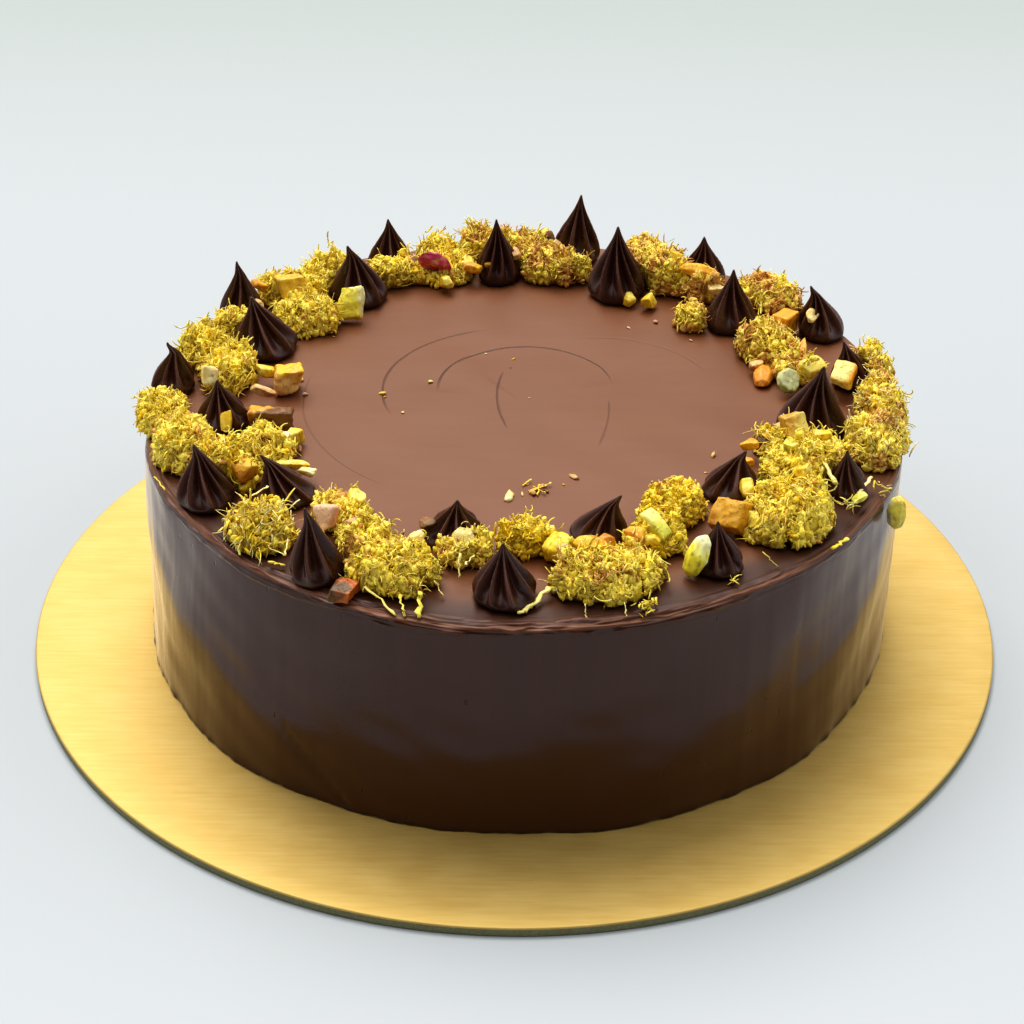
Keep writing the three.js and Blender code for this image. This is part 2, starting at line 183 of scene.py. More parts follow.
def add_piece(name, points, faces, material, slot, replaced=(), values=None):
    """A shown piece on the body root. points are in millimetres, faces is a list of index arrays,
    and values are named point attributes, numbers (points,) or colours (points, 4)."""
    mesh = bpy.data.meshes.new(name)
    corners = [corner for part in faces for corner in part.tolist()]
    mesh.from_pydata((np.asarray(points) * MM).tolist(), [], corners)
    mesh.shade_smooth()
    for key, numbers in (values or {}).items():
        numbers = np.asarray(numbers, np.float32)
        kind, field = ("FLOAT_COLOR", "color") if numbers.ndim == 2 else ("FLOAT", "value")
        mesh.attributes.new(key, kind, "POINT").data.foreach_set(field, numbers.ravel())
    mesh.materials.append(material)
    made = show(name, mesh)
    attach(made, "root")
    if replaced:
        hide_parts(*replaced)


def circle(around):
    """The unit circle's points (around, 2), anticlockwise from +X."""
    angle = 2 * np.pi * np.arange(around) / around
    return np.stack([np.cos(angle), np.sin(angle)], -1)


def card_rows(around=288, bends=5, spokes=26):
    """The card's skin. Its edge turns through two quarter circles of radius b, at its foot and top:
    r = R - b + b cos(t), with z = b + b sin(t) for t from -90 to 0 and z = h - b + b sin(t) from 0
    to 90 degrees."""
    turn = np.radians(np.linspace(-90, 0, bends))
    flat = CARD_RADIUS - CARD_BEVEL
    foot = np.stack([flat + CARD_BEVEL * np.cos(turn), CARD_BEVEL * (1 + np.sin(turn))], -1)
    top = np.stack([foot[::-1, 0], CARD_THICKNESS - foot[::-1, 1]], -1)
    inward = flat * (1 - np.linspace(0, 1, spokes)[1:-1])
    face = np.stack([inward, np.full_like(inward, CARD_THICKNESS)], -1)
    profile = np.vstack([[[CARD_INNER_RING, 0]], foot, top, face])
    ring = circle(around)
    rows = np.empty((len(profile), around, 3))
    rows[..., :2] = profile[:, None, :1] * ring
    rows[..., 2] = profile[:, 1:]
    return rows


def describe_foil(place):
    """Satin foil, mottled and brushed along X, above the dull board of the cut side."""
    cut_side = place.parts()[2].ramp(2.56, 2.42)
    mottle = place.noise((14, 9, 9), 3.0)
    streaks = place.noise((14, 1.1, 5), 3.0)
    grain = place.noise((0.8, 0.5, 0.5), 1.0)
    brushed = 0.5 * mottle + 0.5 * streaks
    gold = brushed.ramp(0.25, 0.75).mix(srgb(202, 172, 104), srgb(214, 188, 124))
    board = grain.mix(srgb(118, 114, 84), srgb(160, 160, 128))
    return {
        "Base Color": cut_side.mix(gold, board),
        "Metallic": 0.7 - 0.6 * cut_side,
        "Roughness": 0.54 + 0.1 * mottle + 0.07 * streaks + 0.3 * cut_side,
        "Relief": 0.02 * mottle + 0.004 * streaks + 0.002 * grain,
    }


card_foil = make_material("gold_foil", describe_foil)
add_piece("gold_card_foil", *skin(card_rows()), card_foil, "gold_foil_card", ["gold_card"])

# The iced cake, tall and straight-sided. Its chocolate ganache was pulled smooth with a scraper
# while the cake turned. Its side is glossy with broad soft marks, the top is satin and keeps a few
# long arcs of the spatula, and the rim is a torn lip, folded over in thin ridges.

CAKE_FOOT_RADIUS = 121.1
CAKE_TOP_RADIUS = 119.4
CAKE_FOOT = 3.4
CAKE_TOP = 72.0
RIM_BEND = 1.9
FOOT_CENTRE = np.array([1.2, 9.6])
TOP_CENTRE = np.array([2.5, 9.6])

# The scraper left one slanting crease in the side's lower half: its height at an angle in degrees,
# and how many millimetres it falls for each degree further on
CREASE_ANGLE = 238.2
CREASE_HEIGHT = 22.3
CREASE_SLOPE = 2.02

# The spatula's arcs on the top, each: middle x and y, radius, first and last angle in degrees,
# depth in millimetres, and how dark the painted shade on its line is
ARCS = [
    (0, 19, 42, 100, 206, 0.25, 0.8),
    (3, 20, 27.7, 4, 190, 0.275, 1.0),
    (-71, 12, 100, -17, 1, 0.15, 0.45),
    (59, 15, 65, 165, 200, 0.2, 0.75),
    (27, 18, 36, 20, 104, 0.125, 0.3),
    (-1, 14, 65.5, 165, 238, 0.15, 0.35),
    (4, -30, 100, 214, 236, 0.125, 0.2),
]

# The torn lip's ridges, each: how far over the rim it runs in millimetres, from the wall's upper
# end, its height, and its first and last angle in degrees
RIDGES = [
    (-1.0, 0.5, 200, 268),
    (0.1, 0.75, 228, 312),
    (1.1, 0.85, 196, 262),
    (1.9, 0.8, 252, 338),
    (2.8, 0.7, 214, 286),
    (3.5, 0.75, 268, 322),
    (4.4, 0.5, 238, 272),
    (-0.4, 0.5, 286, 350),
    (1.3, 0.35, 330, 400),
    (1.5, 0.3, 60, 130),
    (1.4, 0.35, 130, 205),
]


def waves(points, size, seed, octaves=2):
    """Smooth noise of about -1 to 1: a sum of sines in random directions, size long, each octave
    half as long and half as high as the last."""
    draw = np.random.default_rng(seed)
    total = np.zeros(points.shape[:-1])
    for octave in range(octaves):
        for _ in range(7):
            way = draw.normal(size=points.shape[-1])
            way *= 2 * np.pi * 2**octave / (np.linalg.norm(way) * size * draw.uniform(0.7, 1.5))
            total += 0.5**octave * np.sin(points @ way + draw.uniform(0, 2 * np.pi))
    return total / 3.2


def smooth(values, low, high):
    """3 t^2 - 2 t^3 for t from 0 at low to 1 at high."""
    t = np.clip((values - low) / (high - low), 0, 1)
    return t * t * (3 - 2 * t)


def arc_share(angle, first, last, fade=10):
    """1 between two angles in degrees, fading to 0 within fade inside each end."""
    along = (angle - first) % 360
    return smooth(along, 0, fade) * smooth(last - first - along, 0, fade) * (along < last - first)


def top_relief(flat):
    """The top's height above its plane at points (..., 2): long waves of 0.16 mm, and at each arc a
    step where the blade lifted, down by the arc's depth inside it over 1.2 mm and back over 14 mm."""
    height = 0.16 * waves(flat, 60, 5)
    for x, y, radius, first, last, depth, _ in ARCS:
        away = flat - [x, y]
        angle = np.degrees(np.arctan2(away[..., 1], away[..., 0]))
        inside = radius - np.hypot(away[..., 0], away[..., 1])
        step = smooth(inside, -0.6, 0.6) * smooth(inside, 14, 0.6)
        height -= depth * step * arc_share(angle, first, last)
    return height


def ridge_height(ring, across):
    """The height of the torn lip's ridges, by the ring's points (around, 2) and the way across the
    rim (rows,). Each is a flap: a sharp step up on its wall side, e^(-u / 1.1) down on the other.
    They are calmer from 300 degrees on, at the front right."""
    degrees = np.degrees(np.arctan2(ring[:, 1], ring[:, 0]))
    place = ring * 120
    total = np.zeros((len(across), len(ring)))
    for number, (start, height, first, last) in enumerate(RIDGES):
        line = start + 0.75 * waves(place, 34, 20 + number) + 0.2 * waves(place, 6, 40 + number)
        strength = np.clip(0.6 + 0.7 * waves(place, 12, 60 + number), 0.08, 1.3)
        beyond = across[:, None] - line
        flap = smooth(beyond, -0.2, 0.05) * np.exp(-np.maximum(beyond, 0) / 1.1)
        total += flap * height * strength * arc_share(degrees, first, last, 9)
    calm = 1 - 0.55 * smooth(degrees % 360, 275, 300)
    return total * (0.85 * calm)


def cake_rows(around=960, wall=26, rim=20):
    """The cake's skin by height share p and angle a, how torn it is at each point, and how much painted
    shade lies on the front ledge under the toppings. The wall's radius falls evenly to the top, less
    2.9 cos 2a, at the back less 4.2 sin^2 a, plus 0.35 (sin(5a + 4p) + sin(13a - 7p)), a fullness of
    1.6 mm low down at -135 degrees, soft marks and lumps, one slanting crease and a skirt at the
    foot. The rim is a quarter turn of 1.9 mm, with ridge_height and fine roughness over it."""
    ring = circle(around)
    angle = np.arctan2(ring[:, 1], ring[:, 0])
    height = CAKE_TOP - CAKE_FOOT
    bend = RIM_BEND
    levels = np.concatenate([
        [0, 0.3, 0.7, 1.2, 1.9, 2.7], np.linspace(3.6, height - bend - 3.2, wall),
        height - bend - np.linspace(2.4, 0, 9),
    ])
    turn = np.radians(np.linspace(0, 90, rim + 1)[1:])
    inward = np.concatenate([np.arange(0.25, 5, 0.33), 5 + 106 * np.linspace(0, 1, 19)[:-1] ** 1.3])
    radii = CAKE_TOP_RADIUS - bend - inward
    inset = np.concatenate([np.zeros(len(levels)), bend * (1 - np.cos(turn)), CAKE_TOP_RADIUS - radii])
    up = np.concatenate([levels, height - bend + bend * np.sin(turn), np.full(len(radii), height)])
    part = (up / height)[:, None]
    wall_radius = CAKE_FOOT_RADIUS + part * (CAKE_TOP_RADIUS - CAKE_FOOT_RADIUS)
    ripple = np.sin(5 * angle + 4 * part) + np.sin(13 * angle - 7 * part)
    bulge = 1.6 * (1 - part) * np.exp(-(((angle + np.radians(135)) / 0.4) ** 2))
    full = wall_radius - 2.9 * np.cos(2 * angle) - 4.2 * np.maximum(ring[:, 1], 0) ** 2
    full = full + 0.35 * ripple + bulge
    rows = np.empty((len(up), around, 3))
    share = (wall_radius - inset[:, None]) / wall_radius
    middle = FOOT_CENTRE + part[..., None] * (TOP_CENTRE - FOOT_CENTRE)
    rows[..., :2] = middle + (full * share)[..., None] * ring
    rows[..., 2] = CAKE_FOOT + up[:, None]

    outward = np.concatenate([np.ones(len(levels)), np.cos(turn), np.zeros(len(radii))])[:, None]
    wall_place = ring * 120
    skirt = np.exp(-up[:, None] / 0.9) * (0.25 + 0.22 * waves(wall_place, 9, 3, 3))
    marks = 0.05 * waves(wall_place, 8, 8, 2) * np.exp(-(((part - 0.5) / 0.6) ** 2))
    lumps = 0.25 * waves(rows * [1, 1, 1.6], 38, 9, 2)
    crease = rows[..., 2] - CREASE_HEIGHT + (np.degrees(angle) % 360 - CREASE_ANGLE) * CREASE_SLOPE
    crease_span = smooth(rows[..., 2], 2, 6) * smooth(rows[..., 2], 30, 22)
    scratch = -0.45 * np.exp(-((crease / 1.2) ** 2)) * crease_span
    across = np.concatenate([levels - levels[-1], turn * bend, bend * np.pi / 2 + inward])
    torn = ridge_height(ring, across)
    rim_place = np.broadcast_arrays(ring[:, 0] * 10, ring[:, 1] * 10, across[:, None] * 1.3)
    fine = waves(np.stack(rim_place, -1), 2.1, 12, 3)
    lip = np.exp(-(((across - 2.2) / 2.6) ** 2))[:, None] * (0.35 + 0.65 * smooth(-ring[:, 1], -0.3, 0.8))
    moved = outward * (skirt + marks + lumps + scratch) + torn + 0.26 * lip * (fine - 0.5)
    upward = np.concatenate([np.zeros(len(levels)), np.sin(turn), np.ones(len(radii))])[:, None]
    rows[..., :2] += (moved * outward)[..., None] * ring
    rows[..., 2] += moved * upward
    rows[..., 2] += smooth(inset, bend, bend + 3)[:, None] * top_relief(rows[..., :2])
    # Painted shade: the front ledge before the toppings is darkened, less on the torn ridges.
    ledge = smooth(inset, 17, 7) * smooth(inset, 0.3, 2)
    ledge = ledge[:, None] * smooth(-ring[:, 1], 0.1, 0.7) * (1 - 0.6 * np.clip(torn, 0, 1))
    return rows, np.clip(torn + 0.25 * lip * fine, 0, 1), ledge


def arc_line(place):
    """1 on the arcs' lines of painted shade and 0 beside them: each is a thin wandering line where the
    distance to the arc's middle is its radius, over the angles that it spans."""
    x, y, _ = place.parts()
    line = 0.0
    for middle_x, middle_y, radius, first, last, _, dark in ARCS:
        away_x = x - middle_x
        away_y = y - middle_y
        distance = place.math("SQRT", away_x * away_x + away_y * away_y) - radius
        half = math.radians((last - first) / 2)
        centre = math.radians((first + last) / 2)
        facing = (away_x * math.cos(centre) + away_y * math.sin(centre)) / (distance + radius)
        within = facing.ramp(math.cos(half), math.cos(half * 0.7))
        width = place.noise((7, 7, 7), 1.0, (middle_x, radius, 0)) * 0.6
        edge = place.math("ABSOLUTE", distance).ramp(width + 0.15, 0.1) * within * dark
        line = place.math("MAXIMUM", line, edge)
    return line


def describe_icing(place):
    """Satin milk-brown icing on the top, glossy on the side, where painted shade makes it much darker,
    with painted highlights on the torn ridges, small air pits in the side with painted shade in them,
    painted shade on the front ledge and in a band along the foot, and painted shade on the arcs' lines."""
    z = place.parts()[2]
    on_top = z.ramp(70.6, 71.6)
    line = arc_line(place) * on_top
    torn = place.attribute("torn")
    cloud = place.noise((46, 30, 60), 2.0)
    broad = place.noise((7, 7, 90), 2.0, (3, 1, 0))
    smear = place.noise((16, 4.5, 4), 2.0, (2, 9, 0))
    pit_place = place.vector("MULTIPLY", place, (1, 1, 0.55))
    near = pit_place.cells((4.2, 4.2, 4.2), 0)
    chosen = pit_place.cells((4.2, 4.2, 4.2), 1).parts()[0].ramp(0.86, 0.9)
    pits = near.ramp(0.13, 0.06) * chosen * (1 - on_top)
    side_marks = (1 - on_top) * (0.14 * broad + 0.7 * cloud)
    chocolate = cloud.mix(srgb(120, 76, 47), srgb(131, 85, 53))
    # Painted shade: the side is given a far darker copy of the top's chocolate.
    shaded_side = broad.mix(srgb(64, 26, 8), srgb(73, 31, 10))
    body = on_top.mix(shaded_side, chocolate)
    marked = (0.25 * on_top * smear).mix(body, srgb(112, 65, 42))
    # Painted shade on the front ledge.
    shaded = (0.85 * place.attribute("ledge")).mix(marked, srgb(58, 28, 18))
    # Painted shade along the arcs' lines, where the relief cuts a small groove.
    lined = (0.8 * line).mix(shaded, srgb(62, 30, 20))
    # Painted highlight along the top of each torn ridge.
    crest_highlight = (torn.ramp(0.2, 0.8) * 0.4).mix(lined, srgb(128, 84, 76))
    # Painted shade in the side's pits and in a band along the foot.
    foot = z.ramp(4.8, 3.6)
    return {
        "Base Color": (0.8 * pits + 0.6 * foot).mix(crest_highlight, srgb(38, 18, 12)),
        "Roughness": 0.24 + 0.08 * cloud + on_top * (0.16 + 0.06 * smear),
        "Coat Weight": 0.6 * (1 - on_top),
        "Relief": 0.16 * side_marks - 0.35 * pits - 0.16 * line,
    }


icing = make_material(
    "chocolate_icing",
    describe_icing,
    Specular_IOR_Level=0.5,
    Coat_Roughness=0.16,
    Coat_IOR=1.4,
    Sheen_Weight=0.8,
    Sheen_Roughness=0.25,
    Sheen_Tint=(0.95, 0.8, 0.6, 1.0),
)
cake_skin, torn_share, ledge_painted_shade = cake_rows()
looks = {"torn": with_ends(torn_share), "ledge": with_ends(ledge_painted_shade)}
add_piece("iced_cake_icing", *skin(cake_skin), icing, "cake_icing", ["iced_cake"], looks)

# The piped stars, 11 in the inner ring and 12 in the outer. Each is a dollop of soft dark ganache
# squeezed through an open star nozzle: the teeth leave eight thin ribs with wide scooped hollows
# between them over a round foot, and pulling the bag away draws the top into a point that leans.

RIBS = 8

# The star's radius and the depth of its grooves, as shares, at shares of its height
STAR_FORM = [
    (0, 0.86), (0.05, 0.95), (0.13, 1.0), (0.25, 0.96), (0.38, 0.84), (0.5, 0.67), (0.6, 0.51),
    (0.72, 0.33), (0.82, 0.2), (0.92, 0.1), (1, 0.035),
]
GROOVE_FORM = [
    (0, 0.03), (0.08, 0.07), (0.17, 0.2), (0.28, 0.38), (0.45, 0.5), (0.7, 0.5), (0.88, 0.32),
    (1, 0.05),
]

# The share of its height at which a star's lean is measured
NECK = 0.82


def node_mesh(name):
    """A CAD node's points in millimetres, those at one place made one, and its triangles (n, 3)."""
    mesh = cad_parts[name].data
    mesh.calc_loop_triangles()
    points = np.empty(len(mesh.vertices) * 3)
    mesh.vertices.foreach_get("co", points)
    corners = np.empty(len(mesh.loop_triangles) * 3, np.int32)
    mesh.loop_triangles.foreach_get("vertices", corners)
    points, index = np.unique(np.round(points.reshape(-1, 3) / MM, 3), axis=0, return_inverse=True)
    return points, index.ravel()[corners].reshape(-1, 3)


def measure_star(name):
    """A star's place, radius, height and tip, read off its CAD node."""
    points, _ = node_mesh(name)
    floor = points[:, 2].min()
    foot = points[points[:, 2] < floor + 0.01]
    tip = points[points[:, 2].argmax()]
    middle = (foot.min(0) + foot.max(0))[:2] / 2
    middle = foot[np.hypot(*(foot[:, :2] - middle).T).argmin(), :2]
    height = tip[2] - floor
    neck = points[np.abs(points[:, 2] - floor - NECK * height) < 0.03][:, :2].mean(0)
    widest = points[np.abs(points[:, 2] - floor - 0.12 * height) < 0.03][:, :2]
    return {
        "middle": middle,
        "floor": floor,
        "height": height,
        "radius": np.hypot(*(widest - middle).T).max(),
        "tip": tip[:2] - middle,
        "neck": neck - middle,
    }


def through(knots, at):
    """A smooth curve through (place, value) knots: cubics whose slope at a knot is np.gradient's."""
    places, values = np.array(knots, float).T
    slopes = np.gradient(values, places)
    at = np.clip(at, places[0], places[-1])
    index = np.clip(np.searchsorted(places, at) - 1, 0, len(places) - 2)
    width = places[index + 1] - places[index]
    t = (at - places[index]) / width
    start = values[index] * (1 + 2 * t) + slopes[index] * width * t
    end = values[index + 1] * (3 - 2 * t) - slopes[index + 1] * width * (1 - t)
    return start * (1 - t) ** 2 + end * t**2


def star_axis(star, part):
    """Where a star's axis is at a share of its height, off its middle: it leans by p^1.5, and what
    its tip is further out than its neck says comes in the last fifth."""
    lean = star["neck"] / NECK**1.5
    hook = star["tip"] - lean
    return lean * part[..., None] ** 1.5 + hook * smooth(part, 0.76, 1.0)[..., None]


def star_rows(star, draw, levels=48, around=144):
    """A star's skin: r = R s(p) (1 - g(p) h), where h = (sin^2(k a / 2) + 0.006)^0.6 is 0 on a rib
    and 1 in a hollow, and s and g are STAR_FORM and GROOVE_FORM. The ribs turn by a seeded twist as
    they rise, and each hollow is a little wider or narrower than the next. Returns the rows and how
    near each point is to the crest of a rib."""
    part = np.linspace(0, 1, levels)
    angle = 2 * np.pi * np.arange(around) / around
    twist = draw.uniform(-0.6, 0.6)
    phase = draw.uniform(0, 2 * np.pi)
    spun = angle + twist * part[:, None] ** 0.8 + phase
    uneven = np.sin(spun + draw.uniform(0, 6)) + 0.6 * np.sin(2 * spun + draw.uniform(0, 6))
    hollow = (np.sin((RIBS * spun + uneven) / 2) ** 2 + 0.006) ** 0.6
    depth = through(GROOVE_FORM, part)[:, None]
    size = 1 + 0.05 * np.sin(spun + draw.uniform(0, 6)) + 0.04 * np.sin(3 * spun + draw.uniform(0, 6))
    radius = star["radius"] * through(STAR_FORM, part)[:, None] * (1 - depth * hollow) * size / 1.03
    radius = radius + 0.12 * (1 - part[:, None])
    rows = np.empty((levels, around, 3))
    rows[..., 0] = radius * np.cos(angle)
    rows[..., 1] = radius * np.sin(angle)
    rows[..., :2] += (star["middle"] + star_axis(star, part))[:, None]
    rows[..., 2] = star["floor"] + part[:, None] * star["height"]
    crest = smooth(hollow, 0.62, 0.05) * smooth(depth, 0.05, 0.3)
    return rows, crest


def describe_ganache(place):
    """Dark wet ganache, with painted highlights along the crest of each rib, broken up by fine grain."""
    cloud = place.noise((5, 5, 5), 2.0)
    grain = place.noise((0.9, 0.9, 0.9), 2.0)
    dark = cloud.mix(srgb(60, 32, 23), srgb(80, 46, 34))
    # Painted highlight along the crest of each rib.
    return {
        "Base Color": (place.attribute("crest") * (0.35 + 0.6 * grain)).mix(dark, srgb(122, 84, 72)),
        "Roughness": 0.22 + 0.12 * cloud,
        "Relief": 0.05 * grain + 0.1 * cloud,
    }


ganache = make_material("piped_ganache", describe_ganache, Specular_IOR_Level=0.6)
star_names = [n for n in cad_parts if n.startswith("star_")]
star_names.sort(key=lambda n: (n.split("_")[1], int(n.split("_")[2])))
stars = [measure_star(name) for name in star_names]
for number, (name, star) in enumerate(zip(star_names, stars)):
    rows, crest = star_rows(star, np.random.default_rng(100 + number))
    add_piece(name + "_piped", *skin(rows), ganache, "piped_ganache", [name], {"crest": with_ends(crest)})

# The larger pieces of pistachio, chopped by hand after the kernels were toasted. A cut piece has
# flat sides and only slightly rounded edges, a half kernel is smooth and domed, and their colour
# goes from pale green and yellow flesh to orange and brown where they caught the heat.

# Each piece's two colours, how much of it the second covers, and how rough it is in millimetres
NUT_LOOKS = {
    "pistachio_half": ((248, 232, 70), (255, 248, 196), 0.5, 0.1),
    "pistachio_square": ((214, 158, 8), (186, 118, 4), 0.4, 0.3),
    "pistachio_leaning": ((255, 236, 90), (255, 246, 190), 0.5, 0.3),
    "pistachio_beige": ((232, 190, 120), (238, 186, 24), 0.5, 0.5),
    "pistachio_brown": ((104, 50, 12), (222, 158, 24), 0.4, 0.6),
    "pistachio_cube": ((214, 192, 96), (196, 150, 44), 0.4, 0.3),
    "pistachio_amber": ((228, 150, 34), (150, 88, 40), 0.3, 0.1),
    "pistachio_slice": ((206, 208, 160), (176, 188, 120), 0.35, 0.2),
    "pistachio_wedge": ((240, 216, 120), (220, 150, 16), 0.5, 0.3),
    "pistachio_orange": ((230, 160, 20), (240, 200, 50), 0.4, 0.2),
    "pistachio_yellow": ((240, 206, 44), (216, 206, 50), 0.35, 0.4),
    "pistachio_sliver": ((240, 190, 40), (228, 156, 24), 0.4, 0.1),
    "pistachio_long": ((236, 176, 30), (216, 136, 20), 0.4, 0.1),
    "pistachio_side": ((244, 228, 104), (255, 246, 190), 0.55, 0.15),
    "pistachio_toasted": ((222, 180, 50), (170, 116, 40), 0.4, 0.3),
    "pistachio_rim": ((186, 88, 0), (84, 38, 6), 0.4, 0.5),
}


def refine(points, faces):
    """Splits every triangle in four at the middles of its edges."""
    edges = np.sort(np.concatenate([faces[:, [0, 1]], faces[:, [1, 2]], faces[:, [2, 0]]]), axis=1)
    shared, index = np.unique(edges, axis=0, return_inverse=True)
    ab, bc, ca = len(points) + index.reshape(3, -1)
    a, b, c = faces.T
    split = np.concatenate([
        np.stack(corners, -1) for corners in ((a, ab, ca), (ab, b, bc), (ca, bc, c), (ab, bc, ca))
    ])
    return np.vstack([points, points[shared].mean(1)]), split


def relax(points, faces, times):
    """Moves every point half way to the mean of those it shares an edge with, times over, which
    rounds the edges."""
    edges = np.concatenate([faces[:, [0, 1]], faces[:, [1, 2]], faces[:, [2, 0]]])
    count = np.bincount(edges[:, 0], minlength=len(points))[:, None]
    for _ in range(times):
        total = np.stack([
            np.bincount(edges[:, 0], weights=points[edges[:, 1], i], minlength=len(points))
            for i in range(3)
        ], -1)
        points = (points + total / count) / 2
    return points


def outward_of(points, faces):
    """The unit normal at each point, from the triangles round it."""
    a, b, c = (points[faces[:, i]] for i in range(3))
    face = np.cross(b - a, c - a)
    total = np.zeros_like(points)
    for i in range(3):
        np.add.at(total, faces[:, i], face)
    return total / np.maximum(np.linalg.norm(total, axis=1, keepdims=True), 1e-9)


def nut_skin(points, faces, seed, splits=4, rounding=3, rough=0.1):
    """A chopped piece: the CAD form's triangles split, its edges rounded, and moved along its
    normals by noise of rough millimetres."""
    for _ in range(splits):
        points, faces = refine(points, faces)
    points = relax(points, faces, rounding)
    push = rough * (0.5 * waves(points, 3.4, seed, 2) + 1.1 * waves(points, 9, seed + 5, 1))
    push += 0.03 * waves(points, 1.1, seed + 1, 2)
    return points + outward_of(points, faces) * push[:, None], faces


def paint(points, colours, seed):
    """Colours (points, 4) that go from the first colour at one end of a piece to the second at the
    other, over a border that wanders, with the second covering a given share."""
    first, second, share = colours
    away = points - points.mean(0)
    axis = np.random.default_rng(seed).normal(size=3)
    along = away @ (axis / np.linalg.norm(axis))
    along = along / np.abs(along).max() + 0.35 * waves(points, 5, seed + 2, 2)
    mixed = smooth(along, 0.75 - 2 * share, 1.35 - 2 * share)[:, None]
    shade = 1 + 0.1 * waves(points, 2.2, seed + 3, 2)[:, None]
    colour = np.array(srgb(*first)) * (1 - mixed) + np.array(srgb(*second)) * mixed
    return np.clip(colour * [[1, 1, 1, 0]] * shade + [[0, 0, 0, 1]], 0, 1)


def describe_nut(place):
    """Waxy flesh in the piece's own colours, with grain and shreds of the brown skin."""
    flesh = place.attribute("flesh", 0)
    grain = place.noise((0.8, 0.8, 0.8), 2.0)
    skins = place.noise((1.1, 1.1, 2.6), 3.0, (4, 2, 0)).ramp(0.54, 0.72)
    cut = (0.15 * grain).mix(flesh, srgb(252, 232, 160))
    return {
        "Base Color": (0.4 * skins).mix(cut, srgb(150, 92, 20)),
        "Roughness": 0.3 + 0.25 * grain,
        "Relief": 0.12 * grain + 0.1 * skins,
    }


nut_flesh = make_material(
    "pistachio_flesh",
    describe_nut,
    Subsurface_Weight=0.2,
    Subsurface_Radius=(1.0, 0.75, 0.25),
    Subsurface_Scale=0.001,
)
obstacles = []
for number, (name, (first, second, share, rough)) in enumerate(NUT_LOOKS.items()):
    points, faces = node_mesh(name)
    obstacles.append((points.mean(0), points))
    points, faces = nut_skin(points, faces, 300 + number, 4 if len(faces) < 30 else 3, 3, rough)
    looks = {"flesh": paint(points, (first, second, share), 320 + number)}
    add_piece(name + "_nut", points, [faces], nut_flesh, "pistachio", [name], looks)

# The rose petal at the back left: one dried petal, curled up on itself and pressed in between the
# pistachios, deep pink and paler on its raised folds.


def describe_petal(place):
    """Deep pink, paler on its raised folds and along fine veins."""
    folds = place.noise((3, 3, 1.6), 3.0)
    veins = place.noise((0.8, 3.0, 0.8), 2.0)
    pale_folds = 0.7 * folds.ramp(0.42, 0.68) + 0.2 * veins
    return {
        "Base Color": pale_folds.mix(srgb(220, 60, 122), srgb(252, 190, 140)),
        "Roughness": 0.6,
        "Relief": 0.5 * folds + 0.15 * veins,
    }


petal = make_material("dried_petal", describe_petal)
points, faces = node_mesh("rose_petal")
obstacles.append((points.mean(0), points))
points, faces = nut_skin(points, faces, 340, 3, 2, 0.45)
add_piece("rose_petal_dried", points, [faces], petal, "rose_petal", ["rose_petal"])

# The smaller chips of pistachio that are scattered through the kunafa and on the icing. They are
# crumbs of the same chopped nuts, 4 to 12 mm long, pressed in where they fell.

# Each colour's first and second tone, and how much of a chip the second covers
CHIP_COLOURS = {
    "yellow": ((232, 196, 40), (244, 222, 110), 0.4),
    "green": ((206, 200, 62), (236, 226, 126), 0.4),
    "dark": ((74, 92, 40), (116, 120, 50), 0.4),
    "cream": ((240, 212, 140), (248, 232, 176), 0.4),
    "orange": ((236, 178, 30), (220, 148, 20), 0.4),
    "amber": ((224, 168, 20), (200, 132, 12), 0.4),
    "brown": ((136, 84, 44), (90, 52, 30), 0.4),
    "beige": ((218, 180, 122), (190, 138, 88), 0.4),
    "pink": ((226, 184, 150), (206, 150, 120), 0.4),
}

